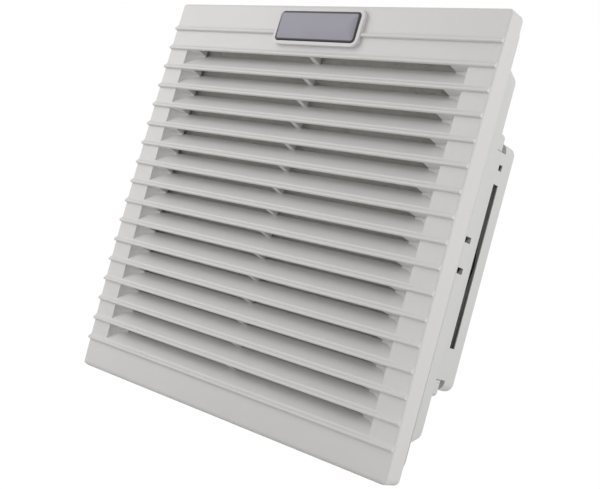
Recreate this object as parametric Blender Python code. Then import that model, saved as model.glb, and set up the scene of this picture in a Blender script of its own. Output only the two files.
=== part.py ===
"""Filter fan for a control cabinet: louvred cover, filter mat, mounting frame, and axial fan in its housing.

Metres, +Z up. The cover faces -Y, and Y = 0 is the cabinet's panel face, where the flange gasket ends.
The origin is the centre of the cut-out in that plane. The fan turns about the Y axis.
"""
import bmesh
import bpy
from math import cos, pi, radians, sin

# Gap between touching pieces, reach of a cutter past what it cuts, and depth to which joined forms sink in
CLEARANCE = 0.0003
OVERCUT = 0.002
BITE = 0.0005

# Body that passes through the panel, and how far the cover overlaps it on each side
BODY_WIDTH = 0.223
BODY_CORNER = 0.012
BODY_WALL = 0.0025
BODY_DEPTH = 0.029
BACK_PLATE = 0.0025
COVER_MARGIN = 0.0145

# Cover: shell and edges. Depths on the cover are counted back from its face.
COVER_DEPTH = 0.0117
COVER_CORNER = 0.004
COVER_WALL = 0.002
COVER_FACE_SKIN = 0.0022
COVER_ROUNDING = 0.003
FACE_BOW = 0.0021

# Cover: rib lines and the louvres between them
RIB_COUNT = 17
RIB_TOP_INSET = 0.0199
RIB_BOTTOM_INSET = 0.0174
LIP_DEPTH = 0.0019
LIP_HEIGHT = 0.0039
LOUVRE_FIRST_RIB = 2
LOUVRE_DEPTH = 0.0079
LOUVRE_SIDE_INSET = 0.017
LOUVRE_END_SLANT = 0.0112
LOUVRE_THROAT_DEPTH = 0.0068
LOUVRE_WALL = 0.002
SLAT_EDGE = 0.0041
SLAT_BACK_DROP = 0.0008
SLAT_THICKNESS = 0.0029
SLAT_FLOOR_DEPTH = 0.0045
WEB_THICKNESS = 0.0018

# Badge and its bezel, at the top centre of the cover
BADGE_WIDTH = 0.063
BADGE_HEIGHT = 0.018
BADGE_THICKNESS = 0.0016
BADGE_CORNER = 0.003
BADGE_SINK = 0.0003
BEZEL_TOP_INSET = 0.0018
BEZEL_MARGIN = 0.0027
BEZEL_FRONT = 0.0034

# Hinge pegs, lugs and ears at the cover's lower rear edge
HINGE_SPACING = 0.150
HINGE_BEFORE_RIM = 0.0025
HINGE_PEG_RADIUS = 0.0011
HINGE_PEG_LENGTH = 0.006
HINGE_PEG_FIT = 0.0002
HINGE_LUG_WALL = 0.0008
HINGE_LUG_LENGTH = 0.005
HINGE_FOOT_DEPTH = 0.003
HINGE_EAR_WIDTH = 0.003
HINGE_EAR_WALL = 0.0006
HINGE_EAR_ROOT = 0.003
HINGE_EAR_RISE = 0.0012
HINGE_SIDE_GAP = 0.0005
HINGE_FLOOR_GAP = 0.0005
HINGE_SWING_ROOM = 0.0023

# Catches at the cover's top edge: a nosed tongue on the flange and a ledge in the cover
CATCH_SPACING = 0.120
CATCH_WIDTH = 0.012
CATCH_THICKNESS = 0.0018
CATCH_REACH = 0.0065
CATCH_NOSE = 0.001
CATCH_INSET = 0.0005
CATCH_LEDGE_DEPTH = 0.0013

# Flange and its gasket
FLANGE_THICKNESS = 0.003
FLANGE_TOP_INSET = 0.005
FLANGE_SIDE_INSET = 0.0015
FLANGE_CORNER = 0.006
GASKET_THICKNESS = 0.001
GASKET_WIDTH = 0.005
GASKET_FROM_BODY = 0.0015
GASKET_CORNER = 0.0045
GASKET_GROOVE = 0.0012

# Spring tongues that grip behind the panel
TONGUE_WIDTH = 0.014
TONGUE_SLOT_WIDTH = 0.0035
TONGUE_SLOT_LENGTH = 0.0085
TONGUE_LENGTH = 0.0085
TONGUE_BARB = 0.0016
TONGUE_BARB_RISE = 0.0015
PANEL_THICKNESS = 0.0025

# Filter mat and the grid behind it
MAT_FRONT_GAP = 0.0006
MAT_THICKNESS = 0.017
MAT_FIT = 0.001
GRID_THICKNESS = 0.0035
GRID_BAR = 0.003
GRID_HOLES = 5
GRID_RIM = 0.006
GRID_LEDGE = 0.002

# Fan: a round die-cast ring with two flats
FAN_DIAMETER = 0.172
FAN_FLAT_CUT = 0.011
FAN_DEPTH = 0.051
FAN_FLANGE = 0.0035
FAN_RIM = 0.0025
FAN_BELL = 0.0025
FAN_INLET_BELL_DEPTH = 0.006
FAN_OUTLET_BELL_DEPTH = 0.003
FAN_DUCT_WALL = 0.0022
FAN_FILLET = 0.001
FAN_BOLT_EDGE = 0.005
STRUT_COUNT = 4
STRUT_WIDTH = 0.007
STRUT_DEPTH = 0.0055
STRUT_SETBACK = 0.0008
MOTOR_PLATE_RADIUS = 0.034
MOTOR_PLATE_THICKNESS = 0.0035
BEARING_TUBE_WALL = 0.0025

# Rear housing round the fan
HOUSING_SIDE_FIT = 0.001
HOUSING_FLAT_FIT = 0.0005
HOUSING_WALL = 0.002
HOUSING_CORNER = 0.010
HOUSING_RIM_DEPTH = 0.005
HOUSING_PLATE = 0.002
SIDE_SLOT_LENGTH = 0.102
SIDE_SLOT_WIDTH = 0.004
SIDE_SLOT_FROM_REAR = 0.0125
SIDE_HOLE = 0.0038
SIDE_HOLE_GAP = 0.0086
HOOK_WIDTH = 0.010
HOOK_THICKNESS = 0.0018
HOOK_SPACING = 0.150
HOOK_LENGTH = 0.044
HOOK_NOSE = 0.0024
HOOK_TIP = 0.005
HOOK_BARB = 0.0012
HOOK_BARB_LENGTH = 0.003

# Motor
SHAFT_RADIUS = 0.004
SHAFT_GROOVE_WIDTH = 0.001
SHAFT_GROOVE_DEPTH = 0.0005
SHAFT_REST = 0.0028
BEARING_RADIUS = 0.011
BEARING_WIDTH = 0.007
BEARING_CHAMFER = 0.0005
BEARING_SINK = 0.0015
BEARING_REAR_SINK = 0.0035
RUNNING_GAP = 0.0004
WASHER_THICKNESS = 0.0008
WASHER_WIDTH = 0.0028
RING_WIDTH = 0.0022
ROTOR_RADIUS = 0.040
ROTOR_WALL = 0.0015
ROTOR_DISH = 0.0025
ROTOR_BACK_GAP = 0.0025
ROTOR_BOSS_RADIUS = 0.008
ROTOR_BOSS_LENGTH = 0.005
CAGE_THICKNESS = 0.0028
CAGE_OVERHANG = 0.0015
STATOR_LENGTH = 0.018
STATOR_TEETH = 12
STATOR_YOKE = 0.0061
STATOR_TIP = 0.0022
STATOR_SLOT_MOUTH = 0.0028
AIR_GAP = 0.0006
WINDING_LENGTH = 0.0045
WINDING_INSET = 0.003
WINDING_BORE_INSET = 0.002
WINDING_ROOM_FRONT = 0.0044
WINDING_ROOM_REAR = 0.0025

# Impeller
HUB_WALL = 0.0022
HUB_END_INSET = 0.001
HUB_CHAMFER = 0.0008
BLADE_COUNT = 7
BLADE_TIP_GAP = 0.0016
BLADE_THICKNESS = 0.0018
BLADE_ROOT_CHORD = 0.034
BLADE_TIP_CHORD = 0.046
BLADE_ROOT_ANGLE = 42.0
BLADE_TIP_ANGLE = 63.0
BLADE_CAMBER = 0.10
BLADE_SWEEP = 14.0

# Fasteners through guard, outlet plate and fan flange
SCREW_RADIUS = 0.0020
SCREW_FIT = 0.0003
SCREW_HEAD_RADIUS = 0.0037
SCREW_HEAD_HEIGHT = 0.0024
SCREW_TIP = 0.0015
NUT_ACROSS_FLATS = 0.007
NUT_HEIGHT = 0.0032

# Wire guard
GUARD_WIRE = 0.0011
GUARD_RINGS = 5
GUARD_FIRST_RADIUS = 0.018
GUARD_EDGE_INSET = 0.0015
GUARD_EYE_RADIUS = 0.0045

# Terminal block and earth tab, on the housing's left side
TERMINAL_WIDTH = 0.036
TERMINAL_HEIGHT = 0.016
TERMINAL_LENGTH = 0.022
TERMINAL_POLES = 3
TERMINAL_Z = 0.0
TERMINAL_FROM_REAR = 0.035
TERMINAL_WELL_RADIUS = 0.0031
TERMINAL_WELL_DEPTH = 0.006
TERMINAL_ENTRY_RADIUS = 0.0022
TERMINAL_ENTRY_DEPTH = 0.007
TERMINAL_ENTRY_HEIGHT = 0.0072
TERMINAL_SCREW_RADIUS = 0.0025
TERMINAL_SCREW_HEIGHT = 0.003
TERMINAL_SCREW_SLOT = 0.0008
TERMINAL_FOOT_LENGTH = 0.011
TERMINAL_FOOT_WIDTH = 0.010
TERMINAL_FOOT_THICKNESS = 0.0025
FIXING_RADIUS = 0.0013
FIXING_LENGTH = 0.0045
FIXING_HEAD_RADIUS = 0.0027
FIXING_HEAD_HEIGHT = 0.0016
EARTH_TAB_WIDTH = 0.0063
EARTH_TAB_THICKNESS = 0.0008
EARTH_TAB_LENGTH = 0.012
EARTH_TAB_FOOT = 0.004
EARTH_TAB_GAP = 0.0085

# Widths and heights that follow from the sizes above
BODY_HALF = BODY_WIDTH / 2
BODY_INNER = BODY_HALF - BODY_WALL
BODY_INNER_CORNER = BODY_CORNER - BODY_WALL
COVER_HALF = BODY_HALF + COVER_MARGIN
RIB_TOP_Z = COVER_HALF - RIB_TOP_INSET
RIB_PITCH = (2 * COVER_HALF - RIB_TOP_INSET - RIB_BOTTOM_INSET) / (RIB_COUNT - 1)
SLAT_FRONT_DROP = RIB_PITCH - SLAT_EDGE
LOUVRE_MOUTH_HALF = COVER_HALF - LOUVRE_SIDE_INSET
BADGE_Z = COVER_HALF - BEZEL_TOP_INSET - BEZEL_MARGIN - BADGE_HEIGHT / 2
HINGE_LUG_RADIUS = HINGE_PEG_RADIUS + HINGE_PEG_FIT + HINGE_LUG_WALL
HINGE_EAR_RADIUS = HINGE_PEG_RADIUS + HINGE_EAR_WALL
HINGE_Z = -COVER_HALF + COVER_WALL + HINGE_FLOOR_GAP + HINGE_EAR_RADIUS
FLANGE_TOP = COVER_HALF - FLANGE_TOP_INSET
FLANGE_BOTTOM = HINGE_Z + HINGE_SWING_ROOM
FLANGE_HALF_WIDTH = COVER_HALF - FLANGE_SIDE_INSET
GASKET_INNER = BODY_HALF + GASKET_FROM_BODY
GASKET_OUTER = GASKET_INNER + GASKET_WIDTH
CATCH_NOSE_TOP = FLANGE_TOP - CATCH_INSET + CATCH_NOSE
FAN_RADIUS = FAN_DIAMETER / 2
FAN_FLAT_HALF = FAN_RADIUS - FAN_FLAT_CUT
FAN_MOUTH_RADIUS = FAN_FLAT_HALF - FAN_RIM
FAN_DUCT_RADIUS = FAN_MOUTH_RADIUS - FAN_BELL
FAN_HOLE_RADIUS = SCREW_RADIUS + SCREW_FIT
BOLT_OFFSET = (FAN_RADIUS - FAN_BOLT_EDGE) * cos(pi / 4)
HOUSING_HALF_WIDTH = FAN_RADIUS + HOUSING_SIDE_FIT + HOUSING_WALL
HOUSING_HALF_HEIGHT = FAN_FLAT_HALF + HOUSING_FLAT_FIT + HOUSING_WALL
BEARING_TUBE_BORE = BEARING_RADIUS + CLEARANCE
BEARING_TUBE_RADIUS = BEARING_TUBE_BORE + BEARING_TUBE_WALL
ROTOR_BORE = ROTOR_RADIUS - ROTOR_WALL
CAGE_BORE = ROTOR_BORE - CLEARANCE - CAGE_THICKNESS
STATOR_RADIUS = CAGE_BORE - AIR_GAP
STATOR_BORE = BEARING_TUBE_RADIUS + CLEARANCE
HUB_BORE = ROTOR_RADIUS + CLEARANCE
HUB_RADIUS = HUB_BORE + HUB_WALL
BLADE_TIP_RADIUS = FAN_DUCT_RADIUS - BLADE_TIP_GAP
TERMINAL_FOOT_Z = TERMINAL_WIDTH / 2 + TERMINAL_FOOT_LENGTH / 2
SIDE_HOLE_Z = SIDE_SLOT_LENGTH / 2 + SIDE_HOLE_GAP + SIDE_HOLE / 2

# Depths that follow from the sizes above, from the cover back to the outlet
FLANGE_FRONT_Y = -GASKET_THICKNESS - FLANGE_THICKNESS
RIM_Y = FLANGE_FRONT_Y - CLEARANCE
FACE_Y = RIM_Y - COVER_DEPTH
HINGE_Y = RIM_Y - HINGE_BEFORE_RIM
MAT_FRONT_Y = FACE_Y + LOUVRE_DEPTH + MAT_FRONT_GAP
MAT_BACK_Y = MAT_FRONT_Y + MAT_THICKNESS
GRID_FRONT_Y = MAT_BACK_Y + CLEARANCE
GRID_BACK_Y = GRID_FRONT_Y + GRID_THICKNESS
BACK_PLATE_Y = BODY_DEPTH - BACK_PLATE
HOUSING_FRONT_Y = BODY_DEPTH + CLEARANCE
FAN_FRONT_Y = HOUSING_FRONT_Y
FAN_REAR_Y = FAN_FRONT_Y + FAN_DEPTH
OUTLET_PLATE_FRONT_Y = FAN_REAR_Y + CLEARANCE
OUTLET_PLATE_REAR_Y = OUTLET_PLATE_FRONT_Y + HOUSING_PLATE
HOUSING_REAR_Y = OUTLET_PLATE_REAR_Y + HOUSING_RIM_DEPTH
ROTOR_BACK_Y = FAN_REAR_Y - STRUT_DEPTH - ROTOR_BACK_GAP
STATOR_REAR_Y = ROTOR_BACK_Y - WINDING_ROOM_REAR - WINDING_LENGTH - CLEARANCE
STATOR_FRONT_Y = STATOR_REAR_Y - STATOR_LENGTH
ROTOR_FRONT_Y = STATOR_FRONT_Y - CLEARANCE - WINDING_LENGTH - WINDING_ROOM_FRONT - ROTOR_WALL
ROTOR_BOSS_BACK_Y = ROTOR_FRONT_Y + ROTOR_WALL + ROTOR_BOSS_LENGTH
REAR_BEARING_Y = FAN_REAR_Y - BEARING_REAR_SINK - BEARING_WIDTH
HUB_MIDDLE_Y = (ROTOR_FRONT_Y + ROTOR_BACK_Y) / 2
GUARD_WIRE_Y = OUTLET_PLATE_REAR_Y + CLEARANCE + GUARD_WIRE
TERMINAL_Y = HOUSING_REAR_Y - TERMINAL_FROM_REAR


# Helpers for materials and meshes

def make_material(name, color, roughness, metallic=0.0):
    """A Principled material with the part's colour."""
    material = bpy.data.materials.new(name)
    material.use_nodes = True
    shader = material.node_tree.nodes["Principled BSDF"]
    shader.inputs["Base Color"].default_value = (*color, 1.0)
    shader.inputs["Roughness"].default_value = roughness
    shader.inputs["Metallic"].default_value = metallic
    material.diffuse_color = (*color, 1.0)
    return material


def object_from(name, mesh_data, material=None):
    """An object of this name from a finished bmesh, with its normals made to face outwards."""
    bmesh.ops.recalc_face_normals(mesh_data, faces=mesh_data.faces)
    mesh = bpy.data.meshes.new(name)
    mesh_data.to_mesh(mesh)
    mesh_data.free()
    made = bpy.data.objects.new(name, mesh)
    bpy.context.scene.collection.objects.link(made)
    if material:
        mesh.materials.append(material)
    return made


def prism(outline, start, end, axis="Y", holes=()):
    """A bmesh with this outline pushed from start to end.

    The outline's points are (X, Z) for axis Y, (Y, Z) for axis X and (X, Y) for axis Z.
    """
    places = {
        "X": lambda a, b, depth: (depth, a, b),
        "Y": lambda a, b, depth: (a, depth, b),
        "Z": lambda a, b, depth: (a, b, depth),
    }
    place = places[axis]
    mesh = bmesh.new()
    edges = []
    for loop in (outline, *holes):
        verts = [mesh.verts.new(place(a, b, start)) for a, b in loop]
        edges += [mesh.edges.new((verts[i - 1], verts[i])) for i in range(len(verts))]
    if holes:
        bmesh.ops.triangle_fill(mesh, use_beauty=True, edges=edges)
    else:
        mesh.faces.new(mesh.verts)
    push(mesh, place(0, 0, end - start))
    return mesh


def push(mesh, vector):
    """Extrudes all faces of a flat bmesh by a vector into a closed body."""
    pushed = bmesh.ops.extrude_face_region(mesh, geom=mesh.faces[:])
    moved = [item for item in pushed["geom"] if isinstance(item, bmesh.types.BMVert)]
    bmesh.ops.translate(mesh, vec=vector, verts=moved)
    bmesh.ops.recalc_face_normals(mesh, faces=mesh.faces)


def rounded_rectangle(half_width, top, bottom=None, corner=0.0, steps=4):
    """The outline of a rectangle with round corners, centred in X and from bottom to top."""
    bottom = -top if bottom is None else bottom
    points = []
    centres = (
        (half_width - corner, top - corner),
        (corner - half_width, top - corner),
        (corner - half_width, bottom + corner),
        (half_width - corner, bottom + corner),
    )
    for quarter, (x, z) in enumerate(centres):
        for step in range(steps + 1):
            angle = (quarter + step / steps) * pi / 2
            points.append((x + corner * cos(angle), z + corner * sin(angle)))
    return points


def circle(radius, count, middle=(0.0, 0.0), turn=0.0):
    """Points of a circle."""
    angles = [turn + 2 * pi * i / count for i in range(count)]
    return [(middle[0] + radius * cos(angle), middle[1] + radius * sin(angle)) for angle in angles]


def box(low, high):
    """A bmesh box between two corners."""
    outline = [(low[0], low[2]), (high[0], low[2]), (high[0], high[2]), (low[0], high[2])]
    return prism(outline, low[1], high[1])


def turned(profile, count):
    """A closed profile of (radius, y) points turned about the Y axis. Points on the axis are shared."""
    mesh = bmesh.new()
    rings = []
    for radius, y in profile:
        if radius == 0:
            rings.append([mesh.verts.new((0, y, 0))] * count)
        else:
            rings.append([mesh.verts.new((x, y, z)) for x, z in circle(radius, count)])
    for near, far in zip(rings, rings[1:] + rings[:1]):
        for i in range(count):
            corners = (near[i - 1], near[i], far[i], far[i - 1])
            face = [corner for k, corner in enumerate(corners) if corner not in corners[:k]]
            if len(face) > 2:
                mesh.faces.new(face)
    bmesh.ops.recalc_face_normals(mesh, faces=mesh.faces)
    return mesh


def turn_about_y(mesh, angle):
    """Turns a bmesh about the fan's axis and returns it."""
    for vertex in mesh.verts:
        x, y, z = vertex.co
        vertex.co = (x * cos(angle) - z * sin(angle), y, x * sin(angle) + z * cos(angle))
    return mesh


def moved_by(mesh, vector):
    """Moves a bmesh and returns it."""
    bmesh.ops.translate(mesh, vec=vector, verts=mesh.verts)
    return mesh


def joined(meshes):
    """One bmesh with several closed bodies."""
    whole = bmesh.new()
    for part in meshes:
        copy = bpy.data.meshes.new("part")
        part.to_mesh(copy)
        part.free()
        whole.from_mesh(copy)
        bpy.data.meshes.remove(copy)
    return whole


def combine(target, meshes, operation):
    """Applies one exact Boolean of the given bmeshes to an object."""
    tool = object_from("tool", joined(meshes))
    modifier = target.modifiers.new("combine", "BOOLEAN")
    modifier.operation = operation
    modifier.solver = "EXACT"
    modifier.object = tool
    bpy.context.view_layer.update()
    evaluated = target.evaluated_get(bpy.context.evaluated_depsgraph_get())
    result = bpy.data.meshes.new_from_object(evaluated)
    target.modifiers.remove(modifier)
    old = target.data
    result.name = old.name
    target.data = result
    bpy.data.meshes.remove(old)
    tool_mesh = tool.data
    bpy.data.objects.remove(tool)
    bpy.data.meshes.remove(tool_mesh)


def cut(target, *meshes):
    combine(target, meshes, "DIFFERENCE")


def add(target, *meshes):
    combine(target, meshes, "UNION")


def keep(target, *meshes):
    combine(target, meshes, "INTERSECT")


def clean(target, merge=0.00001):
    """Merges doubled points and removes flat leftovers of the Booleans."""
    mesh = bmesh.new()
    mesh.from_mesh(target.data)
    bmesh.ops.remove_doubles(mesh, verts=mesh.verts, dist=merge)
    bmesh.ops.dissolve_degenerate(mesh, dist=merge, edges=mesh.edges)
    mesh.to_mesh(target.data)
    mesh.free()


def smooth_round(target, angle=35.0):
    """Shades a round piece smooth but keeps its edges."""
    target.data.shade_smooth()
    target.data.set_sharp_from_angle(angle=radians(angle))


def carry(piece, carrier):
    """Parents a piece to an empty on its joint's axis and leaves it where it is."""
    piece.parent = carrier
    piece.location = piece.location - carrier.location


def empty_at(name, place):
    made = bpy.data.objects.new(name, None)
    made.location = place
    bpy.context.scene.collection.objects.link(made)
    return made


# Cover

def rib_z(rib):
    """Height of a rib line, counted from 1 at the top."""
    return RIB_TOP_Z - (rib - 1) * RIB_PITCH


def cover_section():
    """(depth, height) points of the cover's section: down its face with every lip, then its open rear."""
    soft = COVER_ROUNDING * 0.3
    points = [
        (COVER_DEPTH, COVER_HALF),
        (COVER_ROUNDING, COVER_HALF),
        (soft, COVER_HALF - soft),
        (0.0, COVER_HALF - COVER_ROUNDING),
    ]
    lip = [(0.0, 1.0), (0.25, 0.66), (0.7, 0.36), (1.0, 0.15), (0.93, 0.05), (0.0, -0.05)]
    for rib in range(1, RIB_COUNT + 1):
        points += [(-LIP_DEPTH * depth, rib_z(rib) + LIP_HEIGHT * height) for depth, height in lip]
    points += [
        (0.0, COVER_ROUNDING - COVER_HALF),
        (soft, soft - COVER_HALF),
        (COVER_ROUNDING, -COVER_HALF),
        (COVER_DEPTH, -COVER_HALF),
    ]
    return points


def side_rounding():
    """(X, depth) outline that trims the cover's long sides to a rounded front edge."""
    front = -LIP_DEPTH - BITE
    radius = COVER_ROUNDING
    back = COVER_DEPTH + OVERCUT
    angles = [pi / 8 * step for step in range(5)]
    right = [(COVER_HALF - radius + radius * sin(a), front + radius - radius * cos(a)) for a in angles]
    left = [(-x, y) for x, y in right]
    return [(COVER_HALF, back), *reversed(right), *left, (-COVER_HALF, back)]


def louvre_half(depth):
    """Half width of a louvre at a depth: its ends slant inwards to the throat."""
    share = min(max(depth / LOUVRE_THROAT_DEPTH, 0.0), 1.0)
    return LOUVRE_MOUTH_HALF - LOUVRE_END_SLANT * share


def slat_top(depth):
    """Height of a slat's upper side from its rib line."""
    return -SLAT_FRONT_DROP + (SLAT_FRONT_DROP - SLAT_BACK_DROP) * max(depth, 0.0) / LOUVRE_DEPTH


def slat_underside(depth):
    """Height of the underside of the slat above a channel, from the channel's rib line."""
    return RIB_PITCH + slat_top(depth) - SLAT_THICKNESS


def channel(rib):
    """The air channel under one rib: sections lofted from the face to the back."""
    mesh = bmesh.new()
    behind_lip = 0.0012
    sections = []
    for depth in (-OVERCUT, 0.0, behind_lip, LOUVRE_THROAT_DEPTH, LOUVRE_DEPTH + OVERCUT):
        half = louvre_half(depth)
        low = rib_z(rib) + slat_top(depth)
        high = rib_z(rib) + (CLEARANCE if depth <= 0 else slat_underside(depth))
        corners = ((-half, low), (half, low), (half, high), (-half, high))
        sections.append([mesh.verts.new((x, depth, z)) for x, z in corners])
    mesh.faces.new(sections[0])
    mesh.faces.new(sections[-1])
    for near, far in zip(sections, sections[1:]):
        for i in range(4):
            mesh.faces.new((near[i - 1], near[i], far[i], far[i - 1]))
    bmesh.ops.recalc_face_normals(mesh, faces=mesh.faces)
    return mesh


def middle_web(rib):
    """The web between two slats at the cover's middle, with a front edge that slopes back downwards."""
    z = rib_z(rib)
    back = LOUVRE_DEPTH - CLEARANCE / 2
    foot = LOUVRE_DEPTH * 0.88
    head = LOUVRE_DEPTH * 0.38
    outline = [
        (BITE, z + CLEARANCE),
        (foot, z + slat_top(foot) - BITE),
        (back, z + slat_top(back) - BITE),
        (back, z + slat_underside(back) + BITE),
        (head, z + slat_underside(head) + BITE),
    ]
    return prism(outline, -WEB_THICKNESS / 2, WEB_THICKNESS / 2, axis="X")


def bow_of(z):
    """How far the face stands forward at a height."""
    return FACE_BOW * (1 - min((z / COVER_HALF) ** 2, 1.0))


def badge_outline(grow):
    """The badge's outline, grown or shrunk on every side."""
    top = BADGE_Z + BADGE_HEIGHT / 2 + grow
    bottom = BADGE_Z - BADGE_HEIGHT / 2 - grow
    return rounded_rectangle(BADGE_WIDTH / 2 + grow, top, bottom, corner=BADGE_CORNER + grow)


def make_cover(material):
    """The louvred cover, open behind: bowed face, badge bezel, two catch ledges and two hinge lugs."""
    reach = COVER_HALF + OVERCUT
    cover = object_from("cover_grille", prism(cover_section(), -reach, reach, axis="X"), material)
    keep(cover, prism(side_rounding(), -reach, reach, axis="Z"))
    corners = rounded_rectangle(COVER_HALF, COVER_HALF, corner=COVER_CORNER)
    keep(cover, prism(corners, -LIP_DEPTH - OVERCUT, COVER_DEPTH + OVERCUT))
    add(cover, prism(badge_outline(BEZEL_MARGIN), -BEZEL_FRONT, COVER_FACE_SKIN))
    recess_floor = BADGE_SINK + BADGE_THICKNESS + CLEARANCE - BEZEL_FRONT
    cut(cover, prism(badge_outline(0.0), -BEZEL_FRONT - OVERCUT, recess_floor))

    inner = COVER_HALF - COVER_WALL
    field_top = rib_z(LOUVRE_FIRST_RIB) + slat_underside(LOUVRE_DEPTH) + LOUVRE_WALL
    field_bottom = rib_z(RIB_COUNT) - SLAT_FLOOR_DEPTH
    field = rounded_rectangle(LOUVRE_MOUTH_HALF + LOUVRE_WALL, field_top, field_bottom, corner=LOUVRE_WALL)
    cavity = rounded_rectangle(inner, inner, corner=COVER_CORNER - COVER_WALL)
    cut(cover, prism(cavity, LOUVRE_DEPTH, COVER_DEPTH + OVERCUT))
    cut(cover, prism(cavity, COVER_FACE_SKIN, LOUVRE_DEPTH + BITE, holes=[field]))
    ribs = range(LOUVRE_FIRST_RIB, RIB_COUNT)
    cut(cover, *[channel(rib) for rib in ribs])
    add(cover, *[middle_web(rib) for rib in ribs])
    clean(cover)
    for vertex in cover.data.vertices:
        share = min(max((COVER_DEPTH - vertex.co.y) / (COVER_DEPTH - LOUVRE_DEPTH), 0.0), 1.0)
        vertex.co.y += FACE_Y - bow_of(vertex.co.z) * share

    add(cover, *[catch_ledge(x) for x in catch_places()])
    lug = circle(HINGE_LUG_RADIUS, 14, (HINGE_Y, HINGE_Z))
    bore = circle(HINGE_PEG_RADIUS + HINGE_PEG_FIT, 14, (HINGE_Y, HINGE_Z))
    half = HINGE_LUG_LENGTH / 2
    add(cover, *[prism(lug, x - half, x + half, axis="X") for x in hinge_places()])
    add(cover, *[hinge_foot(x) for x in hinge_places()])
    cut(cover, *[prism(bore, x - HINGE_LUG_LENGTH, x + HINGE_LUG_LENGTH, axis="X") for x in hinge_places()])
    clean(cover)
    smooth_round(cover, 30)
    return cover


def hinge_places():
    """X of the two hinge lugs."""
    return (-HINGE_SPACING / 2, HINGE_SPACING / 2)


def catch_places():
    """X of the two catches."""
    return (-CATCH_SPACING / 2, CATCH_SPACING / 2)


def hinge_foot(x):
    """The block that joins a hinge lug to the cover's lower wall."""
    half = HINGE_LUG_LENGTH / 2 - CLEARANCE
    low = (x - half, HINGE_Y - HINGE_FOOT_DEPTH / 2, -COVER_HALF + COVER_WALL - BITE)
    high = (x + half, HINGE_Y + HINGE_FOOT_DEPTH / 2, HINGE_Z - CLEARANCE)
    return box(low, high)


def catch_ledge(x):
    """The ledge under the cover's upper wall, just behind a catch's nose."""
    wall = COVER_HALF - COVER_WALL + BITE
    bottom = CATCH_NOSE_TOP + CLEARANCE
    front = FLANGE_FRONT_Y - CATCH_REACH + 3 * CATCH_NOSE + CLEARANCE
    back = front + CATCH_LEDGE_DEPTH
    outline = [(front, bottom), (back, bottom), (back, wall), (front, wall)]
    return prism(outline, x - CATCH_WIDTH / 2, x + CATCH_WIDTH / 2, axis="X")


def make_badge(material):
    """The bare plate that sits in the bezel."""
    front = FACE_Y - bow_of(BADGE_Z) - BEZEL_FRONT + BADGE_SINK
    plate = prism(badge_outline(-CLEARANCE), front, front + BADGE_THICKNESS - CLEARANCE / 2)
    return object_from("badge_plate", plate, material)


# Mounting frame and what sits in it

def make_frame(material):
    """Flange, body walls, spring tongues, hinge ears, catches, grid ledge, rear plate and hooks."""
    flange = rounded_rectangle(FLANGE_HALF_WIDTH, FLANGE_TOP, FLANGE_BOTTOM, corner=FLANGE_CORNER)
    frame = object_from("mounting_frame", prism(flange, FLANGE_FRONT_Y, -GASKET_THICKNESS), material)
    body = rounded_rectangle(BODY_HALF, BODY_HALF, corner=BODY_CORNER)
    add(frame, prism(body, FLANGE_FRONT_Y + BITE, BODY_DEPTH))
    opening = rounded_rectangle(BODY_INNER, BODY_INNER, corner=BODY_INNER_CORNER)
    ledge_inner = BODY_INNER - GRID_LEDGE
    ledge = rounded_rectangle(ledge_inner, ledge_inner, corner=BODY_INNER_CORNER - GRID_LEDGE / 2)
    cut(frame, prism(opening, FLANGE_FRONT_Y - OVERCUT, GRID_BACK_Y + CLEARANCE))
    cut(frame, prism(ledge, GRID_BACK_Y, BACK_PLATE_Y))
    cut(frame, prism(circle(FAN_MOUTH_RADIUS, 40), BACK_PLATE_Y - OVERCUT, BODY_DEPTH + OVERCUT))
    cut(frame, gasket_ring(CLEARANCE, -GASKET_THICKNESS - GASKET_GROOVE, OVERCUT / 2))
    add(frame, *hinge_ears())
    add(frame, *hinge_pegs())
    add(frame, *[catch_tongue(x) for x in catch_places()])
    cut(frame, *tongue_slots())
    add(frame, *tongue_barbs())
    add(frame, *housing_hooks())
    clean(frame)
    return frame


def gasket_ring(grow, start, end):
    """A square ring round the body, for the gasket and, grown a little, for its groove."""
    outer = GASKET_OUTER + grow
    inner = GASKET_INNER - grow
    outline = rounded_rectangle(outer, outer, corner=GASKET_CORNER, steps=3)
    hole = rounded_rectangle(inner, inner, corner=GASKET_CORNER, steps=3)
    return prism(outline, start, end, holes=[hole])


def hinge_ears():
    """Two L-shaped ears that stand from the flange's front and end round their hinge pegs."""
    root_z = FLANGE_BOTTOM + HINGE_EAR_RISE
    root_y = FLANGE_FRONT_Y + BITE
    arm = HINGE_EAR_RADIUS
    outline = [
        (root_y, root_z),
        (root_y, root_z + HINGE_EAR_ROOT),
        (HINGE_Y - arm * 0.3, root_z + HINGE_EAR_ROOT),
        (HINGE_Y - arm, root_z + HINGE_EAR_ROOT * 0.6),
    ]
    angles = (pi, 1.25 * pi, 1.5 * pi, 1.75 * pi)
    outline += [(HINGE_Y + arm * cos(a), HINGE_Z + arm * sin(a)) for a in angles]
    outline.append((HINGE_Y + arm * 0.7, root_z))
    ears = []
    for x in hinge_places():
        outward = 1 if x > 0 else -1
        near = x + outward * (HINGE_LUG_LENGTH / 2 + HINGE_SIDE_GAP)
        far = near + outward * HINGE_EAR_WIDTH
        ears.append(prism(outline, min(near, far), max(near, far), axis="X"))
    return ears


def hinge_pegs():
    """The pegs that point inwards from the ears into the cover's lugs."""
    outline = circle(HINGE_PEG_RADIUS, 12, (HINGE_Y, HINGE_Z))
    pegs = []
    for x in hinge_places():
        outward = 1 if x > 0 else -1
        root = x + outward * (HINGE_LUG_LENGTH / 2 + HINGE_SIDE_GAP + HINGE_EAR_WIDTH / 2)
        tip = root - outward * (HINGE_PEG_LENGTH + HINGE_EAR_WIDTH / 2)
        pegs.append(prism(outline, min(root, tip), max(root, tip), axis="X"))
    return pegs


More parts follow.
